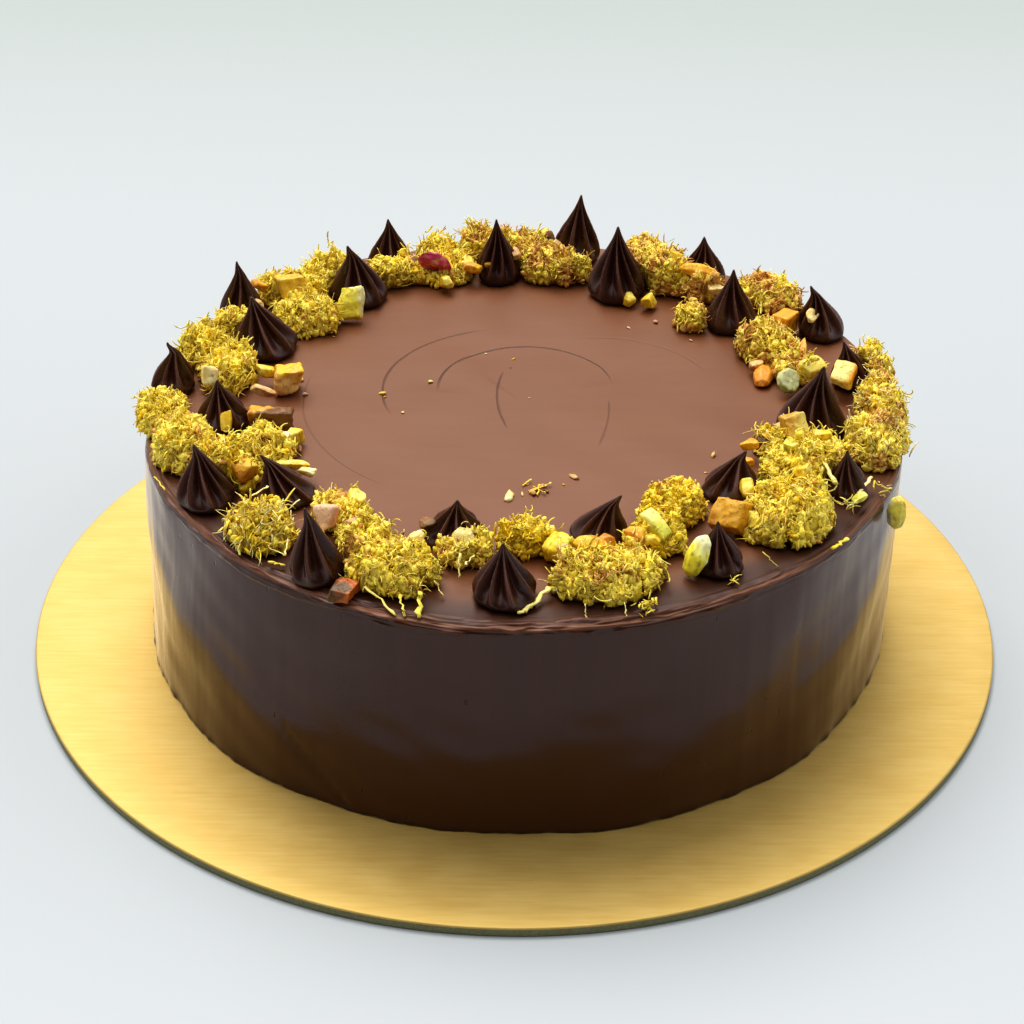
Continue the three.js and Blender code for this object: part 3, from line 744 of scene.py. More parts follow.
# Each chip: angle in degrees and distance from the top's middle, height of its middle above the
# top, length, width, thickness, heading, pitch, roll, and its colour's name
CHIPS = [
    (8.2, 91.8, 6.6, 8.4, 7.4, 5.4, 20, 10, 0, "yellow"),
    (16, 92, 6.1, 9.4, 3.9, 3.4, 60, 20, 0, "orange"),
    (30.9, 90, 4.4, 6.3, 5.3, 4.8, 0, 0, 0, "yellow"),
    (59.5, 97.5, 10.9, 9.4, 6.3, 5.3, 120, 20, 0, "yellow"),
    (102.5, 91, 5.4, 7.3, 5.3, 5.3, 0, 20, 0, "yellow"),
    (205.3, 80.5, 5.9, 7.9, 5.4, 3.4, 90, 0, 20, "cream"),
    (235.5, 97, 8.2, 8.6, 8.0, 3.8, -145.5, 55, 0, "pink"),
    (235.4, 83.5, 6.8, 6, 5.6, 5.6, 45, 0, 0, "yellow"),
    (259.5, 90.5, 8, 7.5, 4.5, 3, 60, 20, 40, "cream"),
    (288.6, 94.5, 8.4, 7.5, 5, 4.4, 30, 10, 0, "orange"),
    (293.4, 91.7, 8.2, 11.5, 6, 5, 7, -30, 0, "green"),
    (338, 77, 3.9, 5.9, 4.9, 4.4, 0, 0, 0, "brown"),
    (173, 81.4, 5, 6.5, 6, 5, 20, 10, 30, "yellow"),
    (182, 80, 5.2, 10, 3.2, 2.6, 160, -12, 0, "beige"),
    (201.5, 74, 3.6, 6, 5.4, 5.4, 10, 0, 0, "yellow"),
    (204.7, 73.8, 1.4, 5, 1.3, 1.3, 70, 4, 0, "brown"),
    (181, 97.2, 9.6, 6.5, 6, 2, -91, 62, 0, "cream"),
    (289.3, 90.2, 5.6, 7, 5, 4, 80, 10, 20, "yellow"),
    (15.4, 76.5, 3, 5, 4, 3.4, 0, 0, 0, "beige"),
    (33.7, 86.7, 2.6, 5.4, 4.4, 3.6, 30, 0, 0, "beige"),
    (25.2, 103.4, 8.6, 5, 4, 3.2, 20, 30, 0, "cream"),
    (57.6, 77.4, 3.4, 6, 5, 4.4, 10, 0, 0, "yellow"),
    (62.6, 75.8, 3, 5, 4.4, 4, 60, 10, 0, "yellow"),
    (46.8, 93.3, 6.6, 8, 4.4, 3.4, 130, 10, 0, "cream"),
    (101.8, 85.3, 6.4, 6, 4.8, 4, 60, 20, 0, "orange"),
    (108.9, 81.4, 4, 5, 4.4, 4, 20, 0, 0, "yellow"),
    (97.6, 87.2, 6.2, 6, 5, 4, 110, 10, 0, "orange"),
    (144.5, 109, 9, 6, 4.5, 3.4, 70, 40, 0, "orange"),
    (85.2, 102.6, 10.5, 4.6, 3.4, 2.8, 20, 40, 0, "brown"),
    (83.6, 100.8, 7.4, 4.2, 3.6, 3, 80, 20, 0, "beige"),
    (327, 78, 4.4, 4.6, 3.6, 3, 50, 0, 0, "orange"),
    (333.4, 75, 5.2, 6.5, 4, 3.4, 20, 10, 0, "orange"),
    (345, 80.6, 4.6, 4.6, 3.4, 3, 20, 20, 0, "beige"),
    (327.6, 113.6, 3.6, 5.4, 3, 2.4, 60, 20, 0, "green"),
    (150, 101, 8.4, 4, 3, 2.6, 20, 20, 0, "beige"),
    (240.4, 96, 8.2, 5, 3.4, 2.6, 60, 10, 0, "pink"),
    (252, 95, 8.4, 6, 4, 2.6, 10, 10, 20, "cream"),
    (251, 84, 5.6, 6, 5, 4.6, 40, 0, 0, "brown"),
    (316.5, 88, 6.5, 6, 4.6, 2.6, 130, 40, 0, "yellow"),
    (337, 95, 10.8, 6, 4, 3, 20, 10, 0, "yellow"),
    (126, 97, 7, 5, 4, 3, 70, 10, 0, "yellow"),
    (92, 90, 8.4, 5, 4, 3, 30, 10, 0, "beige"),
    (194.4, 92.6, 6.2, 6.5, 3.6, 1.6, -104, 60, 0, "yellow"),
    (205.4, 99.6, 7.6, 5, 4.5, 4, 0, 0, 0, "orange"),
    (214, 97, 7, 6.8, 6.2, 5.6, 0, 0, 0, "amber"),
    (213.6, 81, 4.4, 11, 3.4, 2.6, 133, 4, 0, "yellow"),
    (217.5, 79.5, 3.6, 6, 2.6, 2.2, 120, 4, 0, "cream"),
    (203.5, 79, 5.6, 7, 3.6, 2.4, 130, 6, 20, "cream"),
    (236, 101.8, 5, 4.4, 3.6, 2.4, 20, 40, 0, "green"),
    (283.5, 94, 7.6, 6, 5, 4, 40, 10, 0, "amber"),
    (291, 96.5, 8, 5, 3.4, 3, 60, 20, 0, "yellow"),
    (276.5, 96, 8, 4, 3.4, 3, 60, 20, 0, "beige"),
    (309.5, 89, 6, 4, 3.4, 3, 60, 20, 0, "brown"),
    (325, 97, 9.6, 5.4, 4, 3.4, 20, 20, 0, "yellow"),
    (331.5, 88.5, 10.6, 5, 4.4, 3, 80, 10, 0, "green"),
]
COARSE_POINTS = 42


def place_on_top(degrees, distance, height):
    """The point at an angle and a distance from the top's middle, above it."""
    angle = np.radians(degrees)
    flat = TOP_CENTRE + distance * np.array([np.cos(angle), np.sin(angle)])
    return np.array([*flat, CAKE_TOP + height])


def turned(points, degrees, heading, pitch, roll):
    """Points turned about X by roll, about Y by minus pitch and about Z by degrees and heading."""
    about = (
        Matrix.Rotation(math.radians(degrees + heading), 3, "Z")
        @ Matrix.Rotation(math.radians(-pitch), 3, "Y")
        @ Matrix.Rotation(math.radians(roll), 3, "X")
    )
    return points @ np.array(about).T


def icosahedron():
    """The points of an icosahedron of radius 1 and its 20 triangles."""
    g = (1 + 5**0.5) / 2
    signs = [(a, b) for a in (-1, 1) for b in (-1, 1)]
    points = np.array(
        [(0, a, b * g) for a, b in signs]
        + [(a, b * g, 0) for a, b in signs]
        + [(b * g, 0, a) for a, b in signs]
    ) / np.hypot(1, g)
    edge = 2 / np.hypot(1, g)
    near = np.abs(np.linalg.norm(points[:, None] - points, axis=2) - edge) < 0.01
    faces = [
        (i, j, k)
        for i in range(12) for j in range(i + 1, 12) for k in range(j + 1, 12)
        if near[i, j] and near[j, k] and near[i, k]
    ]
    faces = [
        (i, j, k) if np.dot(np.cross(points[j] - points[i], points[k] - points[i]), points[i]) > 0
        else (i, k, j)
        for i, j, k in faces
    ]
    return points, np.array(faces)


def join(parts):
    """Joins (points, list of faces, values) parts into one skin. A value is an array with a row for
    each of the part's points, or one number for them all."""
    offsets = np.cumsum([0] + [len(points) for points, _, _ in parts])
    faces = [face + offset for (_, part, _), offset in zip(parts, offsets) for face in part]
    values = {
        key: np.concatenate([
            np.broadcast_to(given[key], (len(points), *np.shape(given[key])[1:]))
            for points, _, given in parts
        ])
        for key in parts[0][2]
    }
    return np.vstack([points for points, _, _ in parts]), faces, values


def unit(vectors):
    """Vectors made 1 long."""
    return vectors / np.maximum(np.linalg.norm(vectors, axis=-1, keepdims=True), 1e-9)


def chip_part(chip, seed):
    """One chip: a block cut by 13 planes, six of them roughly square to it. Its reach along a way u
    is the soft least of d / (n . u) over the planes, so that its edges are a little round. The
    coarse points of its first split are kept as an obstacle for the strands."""
    degrees, distance, height, length, width, thick, heading, pitch, roll, colour = chip
    draw = np.random.default_rng(seed)
    points, faces = icosahedron()
    for _ in range(3):
        points, faces = refine(points, faces)
    planes = np.vstack([np.eye(3), -np.eye(3), unit(draw.normal(size=(7, 3)))])
    planes = unit(planes + 0.16 * draw.normal(size=planes.shape))
    share = np.maximum(unit(points) @ planes.T, 0) / draw.uniform(0.7, 1.0, len(planes))
    points = unit(points) / ((share**16).sum(1) ** (1 / 16))[:, None]
    points = points / np.abs(points).max(0) * np.array([length, width, thick]) / 2
    points = turned(points, degrees, heading, pitch, roll) + place_on_top(degrees, distance, height)
    obstacles.append((points.mean(0), points[:COARSE_POINTS]))
    points, faces = nut_skin(points, faces, seed, 0, 0, 0.1)
    return points, [faces], {"flesh": paint(points, CHIP_COLOURS[colour], seed)}


points, faces, looks = join([chip_part(chip, 400 + i) for i, chip in enumerate(CHIPS)])
add_piece("pistachio_chips", points, faces, nut_flesh, "pistachio", (), looks)

# The kunafa, toasted shredded pastry tossed in pistachio cream. Each clump is a mat of curled
# strands, flakes and crumbs under a millimetre thick, lying every way with frayed ends and held
# together by the cream. Its own core keeps the clump's form, with painted shade making it dark
# between the strands.

# How a clump differs from the others: a shift of its colour from green (-) to toasted (+), how pale
# it is, how long and loose its strands are, and how closely they lie
CLUMP_LOOKS = {
    1: (0.15, 0.35, 1.0, 1.0),
    2: (0.2, 0.15, 1.0, 1.0),
    3: (0.25, 0.1, 1.0, 1.0),
    4: (0.25, 0.1, 1.0, 1.0),
    5: (0.25, 0.1, 1.0, 1.0),
    6: (0.2, 0.1, 1.0, 1.0),
    8: (0.0, 0.05, 1.2, 1.0),
    9: (0.0, 0.05, 1.2, 1.0),
    10: (0.12, 0.1, 0.9, 1.0),
    12: (-0.15, 0.4, 1.35, 0.4),
    13: (0.1, 0.1, 0.9, 1.0),
    14: (0.1, 0.25, 0.9, 1.0),
    15: (-0.1, 0.0, 0.9, 1.0),
    16: (0.05, 0.1, 1.1, 1.0),
    17: (-0.2, 0.1, 0.7, 1.0),
    18: (0.0, 0.15, 1.1, 1.0),
}
PLAIN_LOOKS = (0.0, 0.1, 1.0, 1.0)

# The height map's step, and what lies on each square millimetre of a clump
GRID = 1.0
STRANDS_PER_MM2 = 0.36
FLAKES_PER_MM2 = 0.5
HAIRS_PER_MM2 = 0.03
GRAINS_PER_MM2 = 0.35

# How many strands make a tuft, the points along a strand and a loose hair, and a tube's sides
TUFT = 4
MAT_STEPS = 6
HAIR_STEPS = 5
STRAND_SIDES = 3

# How far from the top's middle the icing carries a strand, and how far one may reach at all
RIM = 119.0
OVERHANG = 125.0
AROUND = np.array([[1, 0, 0], [-1, 0, 0], [0, 1, 0], [0, -1, 0]])


def neighbours(grid):
    """A grid's values (9, x, y) at each place and the eight round it. Its border holds zeros."""
    return np.stack([np.roll(grid, (i, j), (0, 1)) for i in (-1, 0, 1) for j in (-1, 0, 1)])


def grid_places(low, step, counts):
    """The places (x, y, 2) of a grid that starts at low."""
    return low + step * np.stack(np.meshgrid(*(np.arange(n) for n in counts), indexing="ij"), -1)


def height_map(points, faces):
    """The places of a grid over a clump, and its upper surface there above the cake's top: the
    highest of all triangles over each place, with whatever is under three places wide taken off."""
    low = points[:, :2].min(0) - 3 * GRID
    place = grid_places(low, GRID, np.ceil((points[:, :2].max(0) + 3 * GRID - low) / GRID).astype(int))
    a, b, c = (points[faces[:, i]] for i in range(3))
    d, e = b - a, c - a
    det = d[:, 0] * e[:, 1] - d[:, 1] * e[:, 0]
    up = det > 1e-4
    a, d, e, det = a[up], d[up], e[up], det[up]
    away = place.reshape(-1, 1, 2) - a[:, :2]
    u = (away[..., 0] * e[:, 1] - away[..., 1] * e[:, 0]) / det
    v = (d[:, 0] * away[..., 1] - d[:, 1] * away[..., 0]) / det
    height = np.where((u >= 0) & (v >= 0) & (u + v <= 1), a[:, 2] + u * d[:, 2] + v * e[:, 2], 0)
    height = np.maximum(height.max(1).reshape(place.shape[:2]) - CAKE_TOP, 0)
    return place, neighbours(neighbours(height).min(0)).max(0)


def blurred(grid, times):
    """A grid with each value made the mean of the nine round it, times over."""
    for _ in range(times):
        grid = neighbours(grid).mean(0)
    return grid


def star_top(place):
    """How high above the cake's top the stars' upper sides reach over each place, 0 beside them."""
    part = np.linspace(0, 0.9, 40)
    reach = through(STAR_FORM, part)
    highest = np.zeros(place.shape[:-1])
    for star in stars:
        axis = star["middle"] + star_axis(star, part)
        away = np.linalg.norm(place[..., None, :] - axis, axis=-1)
        over = (away < star["radius"] * reach + 0.3) * (part * star["height"] + 0.6)
        highest = np.maximum(highest, over.max(-1))
    return highest


def clump_core(points, faces, seed):
    """The clump's core: the height map, on a grid half as wide, swollen into lumps of 8, 3.8 and
    1.9 mm with creases between them, and rounded down at its border, with an underside that curls
    up there and clears the stars. Returns one closed skin, the triangles of its upper surface, and
    how far out of the creases each point is, 0 to 1."""
    place, height = height_map(points, faces)
    height = np.repeat(np.repeat(height, 2, 0), 2, 1)
    low = place[0, 0] - GRID / 4
    place = grid_places(low, GRID / 2, height.shape)
    cover = blurred((height > 0.6).astype(float), 4) + 0.3 * waves(place, 8, seed + 20, 2)
    inside = (cover > 0.52) & (blurred(height, 3) > 1)
    edge = smooth(blurred(inside.astype(float), 5), 0.4, 0.95)
    lumps = 2.6 * np.abs(waves(place, 8, seed)) + 1.5 * np.abs(waves(place, 3.8, seed + 50)) - 1.6
    lumps += 0.8 * np.abs(waves(place, 1.9, seed + 90)) - 0.25
    top = np.maximum(blurred(height, 2) + lumps, 1.6) * (0.45 + 0.55 * edge) - 0.3
    under = np.maximum(0.3 + 0.36 * (1 - edge) * top, star_top(place))
    inside &= top - under > 0.5
    cell = inside[:-1, :-1] & inside[1:, :-1] & inside[:-1, 1:] & inside[1:, 1:]
    around = np.zeros(inside.shape, int)
    for i, j in ((0, 0), (0, 1), (1, 0), (1, 1)):
        around[i : i + cell.shape[0], j : j + cell.shape[1]] += cell
    used, border = around > 0, (around > 0) & (around < 4)
    top = np.where(border, 0.65 * under + 0.35 * top, top)
    upper = np.full(inside.shape, -1)
    upper[used] = np.arange(used.sum())
    lower = upper.copy()
    deep = used & ~border
    lower[deep] = used.sum() + np.arange(deep.sum())
    i, j = np.nonzero(cell)
    corners = [(i, j), (i + 1, j), (i + 1, j + 1), (i, j + 1)]
    over = np.stack([upper[c] for c in corners], -1)
    beneath = np.stack([lower[c] for c in corners[::-1]], -1)
    flat = np.vstack([place[used], place[deep]])
    rise = CAKE_TOP + np.concatenate([top[used], under[deep]])
    split = np.vstack([over[:, [0, 1, 2]], over[:, [0, 2, 3]]])
    open_share = smooth(lumps - blurred(lumps, 3), -0.35, 0.3)
    light = np.concatenate([open_share[used], np.zeros(deep.sum())])
    return np.column_stack([flat, rise]), [over, beneath], split, light


def sample_skin(points, faces, density, draw):
    """Places spread evenly over a skin at so many for each square millimetre, and the normals there."""
    a, b, c = (points[faces[:, i]] for i in range(3))
    cross = np.cross(b - a, c - a)
    area = np.linalg.norm(cross, axis=1) / 2
    chosen = draw.choice(len(faces), int(area.sum() * density), p=area / area.sum())
    u, v = draw.uniform(size=(2, len(chosen), 1))
    over = u + v > 1
    u, v = np.where(over, 1 - u, u), np.where(over, 1 - v, v)
    return a[chosen] + u * (b - a)[chosen] + v * (c - a)[chosen], unit(cross)[chosen]


def square_to(vectors, axes):
    """What of vectors is square to unit axes, made 1 long."""
    return unit(vectors - (vectors * axes).sum(1, keepdims=True) * axes)


def arcs(root, way, bow, length, turn, steps):
    """Centre lines (n, steps, 3) that are arcs of a circle, starting along way and turning towards
    bow by turn radians over their length: L (sin(t s) / t way + (1 - cos(t s)) / t bow)."""
    along = np.linspace(0, 1, steps)[None, :, None]
    angle = turn[:, None] * along
    forward = np.sin(angle) / turn[:, None]
    sideways = (1 - np.cos(angle)) / turn[:, None]
    return root[:, None] + length[:, None] * (forward * way[:, None] + sideways * bow[:, None])


def mat_paths(points, faces, loose, full, draw):
    """The mat's strands, in tufts that share a place and roughly a way along the surface, sunk by up
    to 0.25 mm or proud of it by up to 0.5 mm, and scattered by about 1 mm. Returns the lines, how
    proud each is (0 to 1) and its tuft's draw."""
    root, normal = sample_skin(points, faces, full * STRANDS_PER_MM2 / TUFT, draw)
    tufts = len(root)
    root = np.repeat(root, TUFT, axis=0)
    normal = np.repeat(normal, TUFT, axis=0)
    shared = np.repeat(draw.normal(size=(tufts, 3)), TUFT, axis=0)
    side = square_to(shared + 0.7 * draw.normal(size=(len(root), 3)), normal)
    proud = draw.uniform(size=(len(root), 1))
    way = unit(side + draw.uniform(-0.15, 0.25, (len(root), 1)) * proud * normal)
    tilt = draw.uniform(-1.3, 0.3, (len(root), 1))
    bow = square_to(np.cos(tilt) * np.cross(way, normal) + np.sin(tilt) * normal, way)
    length = draw.uniform(2.6, 7.0, (len(root), 1)) * loose
    turn = draw.uniform(0.5, 3.6, (len(root), 1)) / loose
    root = root + draw.normal(scale=1.1, size=root.shape) * (1 - 0.6 * np.abs(normal))
    root = root + (0.75 * proud - 0.25) * normal - 0.3 * length * way
    path = arcs(root, way, bow, length, turn, MAT_STEPS)
    return path, proud[:, 0], np.repeat(draw.uniform(size=tufts), TUFT)


def hair_paths(points, faces, loose, draw):
    """The centre lines of the finer loose strands, which stand out of the mat at 0 to 45 degrees."""
    root, normal = sample_skin(points, faces, HAIRS_PER_MM2, draw)
    side = square_to(draw.normal(size=root.shape), normal)
    rise = np.radians(draw.uniform(0, 45, (len(root), 1)))
    way = np.cos(rise) * side + np.sin(rise) * normal
    bow = square_to(draw.normal(size=root.shape) - [0, 0, 0.6], way)
    length = draw.uniform(2.4, 6.0, (len(root), 1)) * loose
    turn = draw.uniform(0.2, 1.9, (len(root), 1))
    return arcs(root - 0.25 * length * way, way, bow, length, turn, HAIR_STEPS)


def clear_of_others(path):
    """Which strands keep out of every star, every nut and chip, the cake and the room past the rim."""
    keep = np.ones(len(path), bool)
    for star in stars:
        part = (path[..., 2] - star["floor"]) / star["height"]
        inside = np.clip(part, 0, 1)
        away = path[..., :2] - star["middle"] - star_axis(star, inside)
        room = star["radius"] * through(STAR_FORM, inside) * 0.95 + 0.2
        keep &= ~((np.linalg.norm(away, axis=-1) < room) & (part < 1)).any(1)
    for middle, corners in obstacles:
        away = corners - middle
        spread = np.linalg.svd(away, full_matrices=False)[2]
        size = np.abs(away @ spread.T).max(0) + 0.1
        keep &= ~(np.linalg.norm((path - middle) @ spread.T / size, axis=-1) < 1).any(1)
    distance = np.linalg.norm(path[..., :2] - TOP_CENTRE, axis=-1)
    keep &= (distance < OVERHANG).all(1)
    lowest = np.where(distance > RIM, CAKE_TOP - 5.0, CAKE_TOP + 0.25)
    return keep & (path[..., 2] > lowest).all(1)


def tubes(path, radius, flat=1.0, sides=STRAND_SIDES):
    """Tubes round centre lines (n, k, 3), radius (n, k), flat times as thick as they are wide: rings
    across the line's direction, joined by quads and closed by one face at each end."""
    count, steps = path.shape[:2]
    way = unit(np.gradient(path, axis=1))
    first = unit(np.cross(way, [0.31, 0.52, 0.79]))
    second = np.cross(way, first) * flat
    angle = 2 * np.pi * np.arange(sides) / sides
    ring = np.cos(angle)[:, None] * first[:, :, None] + np.sin(angle)[:, None] * second[:, :, None]
    points = path[:, :, None] + radius[:, :, None, None] * ring
    start = (np.arange(count) * steps * sides)[:, None, None]
    row = (np.arange(steps - 1) * sides)[None, :, None]
    i = np.arange(sides)[None, None]
    j = (i + 1) % sides
    low = start + row
    high = low + sides
    quads = np.stack([low + i, low + j, high + j, high + i], -1)
    ends = start[:, 0] + np.arange(sides)
    caps = np.concatenate([ends[:, ::-1], ends + (steps - 1) * sides])
    return points.reshape(-1, 3), [quads.reshape(-1, 4), caps]


def grains(place, normal, small, large, flat, draw):
    """Crumbs of pastry whose half sizes are drawn between small and large, lying along the surface:
    octahedra of uneven corners, and for flakes (flat below 1) icosahedra flat times as thick."""
    if flat < 1:
        corners, faces = icosahedron()
    else:
        corners = np.array([[1, 0, 0], [0, 1, 0], [0, 0, 1], [-1, 0, 0], [0, -1, 0], [0, 0, -1]], float)
        faces = np.array([
            (0, 1, 2), (1, 3, 2), (3, 4, 2), (4, 0, 2), (1, 0, 5), (3, 1, 5), (4, 3, 5), (0, 4, 5),
        ])
    count, each = len(place), len(corners)
    long = draw.uniform(small, large, (count, 1))
    size = np.hstack([long, long * draw.uniform(0.35, 0.8, (count, 1)), long * flat])
    shape = corners * draw.uniform(0.65, 1.25, (count, each, 1)) * size[:, None]
    up = unit(normal + 0.3 * draw.normal(size=(count, 3)))
    first = unit(np.cross(up, draw.normal(size=(count, 3))))
    frames = np.stack([first, np.cross(up, first), up], 1)
    points = place[:, None] + shape @ frames
    index = faces[None] + each * np.arange(count)[:, None, None]
    return points.reshape(-1, 3), index.reshape(-1, 3)


def describe_kunafa(place):
    """Pastry that goes by its tint and by patches from green over yellow to toasted brown, bleached
    where it is pale, and with painted shade that darkens it to brown by its depth: in the core's
    creases and on strands lying low in the mat."""
    tint = place.attribute("tint")
    pale = place.attribute("pale")
    depth = place.attribute("depth")
    grain = place.noise((1.1, 1.1, 1.1), 3.0)
    patches = place.noise((7, 7, 7), 2.0)
    tone = tint + 1.2 * patches - 0.45
    green = tone.ramp(0.0, 0.4).mix(srgb(222, 206, 58), srgb(255, 222, 62))
    yellow = tone.ramp(0.36, 0.72).mix(green, srgb(255, 233, 106))
    toasted = tone.ramp(0.84, 1.05).mix(yellow, srgb(230, 178, 96))
    bleached = (0.85 * (pale + 0.3 * grain)).ramp(0.7, 1.3).mix(toasted, srgb(255, 246, 190))
    # Painted shade: a low depth darkens the pastry towards brown.
    return {
        "Base Color": depth.mix(srgb(132, 88, 10), bleached),
        "Roughness": 0.5,
        "Relief": 0.6 * grain,
    }


kunafa = make_material("kunafa_strands", describe_kunafa)


def mat_part(points, faces, looks, draw):
    """The mat's strands as tubes, each with its own tint and paler, thinner ends."""
    shift, paleness, loose, full = looks
    path, proud, tuft = mat_paths(points, faces, loose, full, draw)
    kept = clear_of_others(path)
    path = path[kept]
    radius = draw.uniform(0.16, 0.42, (len(path), 1)) * [0.7, 1, 1, 1, 0.9, 0.6]
    strands, strand_faces = tubes(path, radius, 0.7)
    own = draw.uniform(size=len(path))
    tint = 0.55 + shift + 0.3 * (0.7 * tuft[kept] + 0.3 * own - 0.5)
    pale = paleness + 0.1 + 0.5 * draw.uniform(size=(len(path), 1)) + [0.5, 0.2, 0, 0, 0.2, 0.5]
    return strands, strand_faces, {
        "tint": np.repeat(tint, MAT_STEPS * STRAND_SIDES),
        "pale": np.repeat(pale.ravel(), STRAND_SIDES),
        # Painted shade: strands lying lower in the mat are darker.
        "depth": np.repeat(0.88 + 0.12 * proud[kept], MAT_STEPS * STRAND_SIDES),
    }


def hair_part(points, faces, looks, draw):
    """The loose strands as finer tubes."""
    shift, paleness, loose, _ = looks
    path = hair_paths(points, faces, loose, draw)
    path = path[clear_of_others(path)]
    hairs, hair_faces = tubes(path, draw.uniform(0.1, 0.2, (len(path), 1)) * [1, 1, 0.9, 0.8, 0.6])
    pale = 0.55 + paleness + 0.5 * draw.uniform(size=len(path))
    return hairs, hair_faces, {
        "tint": 0.5 + shift,
        "pale": np.repeat(pale, HAIR_STEPS * STRAND_SIDES),
        "depth": 1.0,
    }


def scattered_part(points, faces, looks, density, small, large, flat, draw):
    """The flakes or grains over a clump, so many for each square millimetre."""
    shift, paleness, _, full = looks
    place, normal = sample_skin(points, faces, full * density, draw)
    place = place + draw.uniform(-0.15, 0.5, (len(place), 1)) * normal
    kept = clear_of_others(place[:, None] + 0.8 * large * AROUND)
    crumbs, crumb_faces = grains(place[kept], normal[kept], small, large, flat, draw)
    each = len(crumbs) // kept.sum()
    own, other = draw.uniform(size=(2, kept.sum()))
    tint = 0.5 + shift + 0.3 * (own - 0.5) + 0.5 * (own > 0.96)
    return crumbs, [crumb_faces], {
        "tint": np.repeat(tint, each),
        "pale": np.repeat(paleness + 0.5 * other**1.5, each),
        "depth": 1.0,
    }


for name in [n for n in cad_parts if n.startswith("kunafa_")]:
    number = int(name.split("_")[1])
    looks = CLUMP_LOOKS.get(number, PLAIN_LOOKS)
    draw = np.random.default_rng(500 + number)
    core, core_faces, surface, light = clump_core(*node_mesh(name), 600 + number)
    # Painted shade: the core is darker in its creases, and darker where the strands lie sparse.
    painted_core_shade = (0.3 + 0.7 * light) * (0.3 + 0.7 * looks[3])
    points, faces, values = join([
        (core, core_faces, {"tint": 0.55 + looks[0], "pale": 0.25, "depth": painted_core_shade}),
        mat_part(core, surface, looks, draw),
        hair_part(core, surface, looks, draw),
        scattered_part(core, surface, looks, FLAKES_PER_MM2, 0.8, 2.1, 0.2, draw),
        scattered_part(core, surface, looks, GRAINS_PER_MM2, 0.2, 0.5, 1.0, draw),
    ])
    add_piece(name + "_strands", points, faces, kunafa, "kunafa_strands", [name], values)

# The crumbs and scraps that fell on the smooth icing and its rim while the cake was decorated. They
# are grains of nut from under a millimetre to 6 mm long, and broken ends of kunafa.

# Each crumb on the top: x and y in millimetres, its size, and its colour's name
CRUMBS = [
    (-42, 15, 2.2, "yellow"), (-41, 13, 1.2, "beige"), (-27, 23, 1.9, "cream"), (-35, 3, 1.4, "cream"),
    (-10, 43, 1.1, "cream"), (-1, 39, 1.1, "orange"), (-2, 33, 0.9, "brown"), (-2, -47, 4.6, "cream"),
    (2, -45, 1.4, "cream"), (5, -44, 3.4, "beige"), (6, -42, 2.4, "orange"), (8, -40, 2.6, "beige"),
    (9, -43, 2.0, "brown"), (3, -39, 1.6, "beige"), (17, -35, 2.8, "beige"), (14, -39, 1.1, "orange"),
    (46, 65, 2.4, "pink"), (37, 61, 1.5, "pink"), (59, -22, 2.2, "beige"), (56, -32, 1.0, "beige"),
    (52, -37, 1.0, "orange"), (-68, 24, 2.4, "beige"), (-66, 14, 2.0, "pink"), (4, 13, 0.6, "cream"),
    (-60, 53, 0.8, "beige"), (57, 52, 1.2, "pink"), (-78, 49, 2.4, "yellow"), (-72, -8, 1.0, "beige"),
    (-79, -19, 4.0, "brown"),
]

# Scraps of kunafa past the clumps, each: angle in degrees, distance, height, how far its strands
# spread, how many they are, their length, and how pale they are
SCRAPS = [
    (-74, 118.5, 2.2, 2.2, 46, 4.5, 0.3),
    (-134, 112, 2.0, 3.0, 12, 9.0, 0.7),
    (-140, 108, 2.4, 3.0, 12, 9.0, 0.6),
    (-60, 115, 1.4, 2.0, 9, 6.0, 0.6),
    (-36, 113, 5.5, 1.6, 10, 7.0, 0.7),
    (-46, 108, 1.6, 2.4, 10, 6.0, 0.5),
    (-27, 116, 2.2, 2.4, 10, 7.0, 0.6),
]

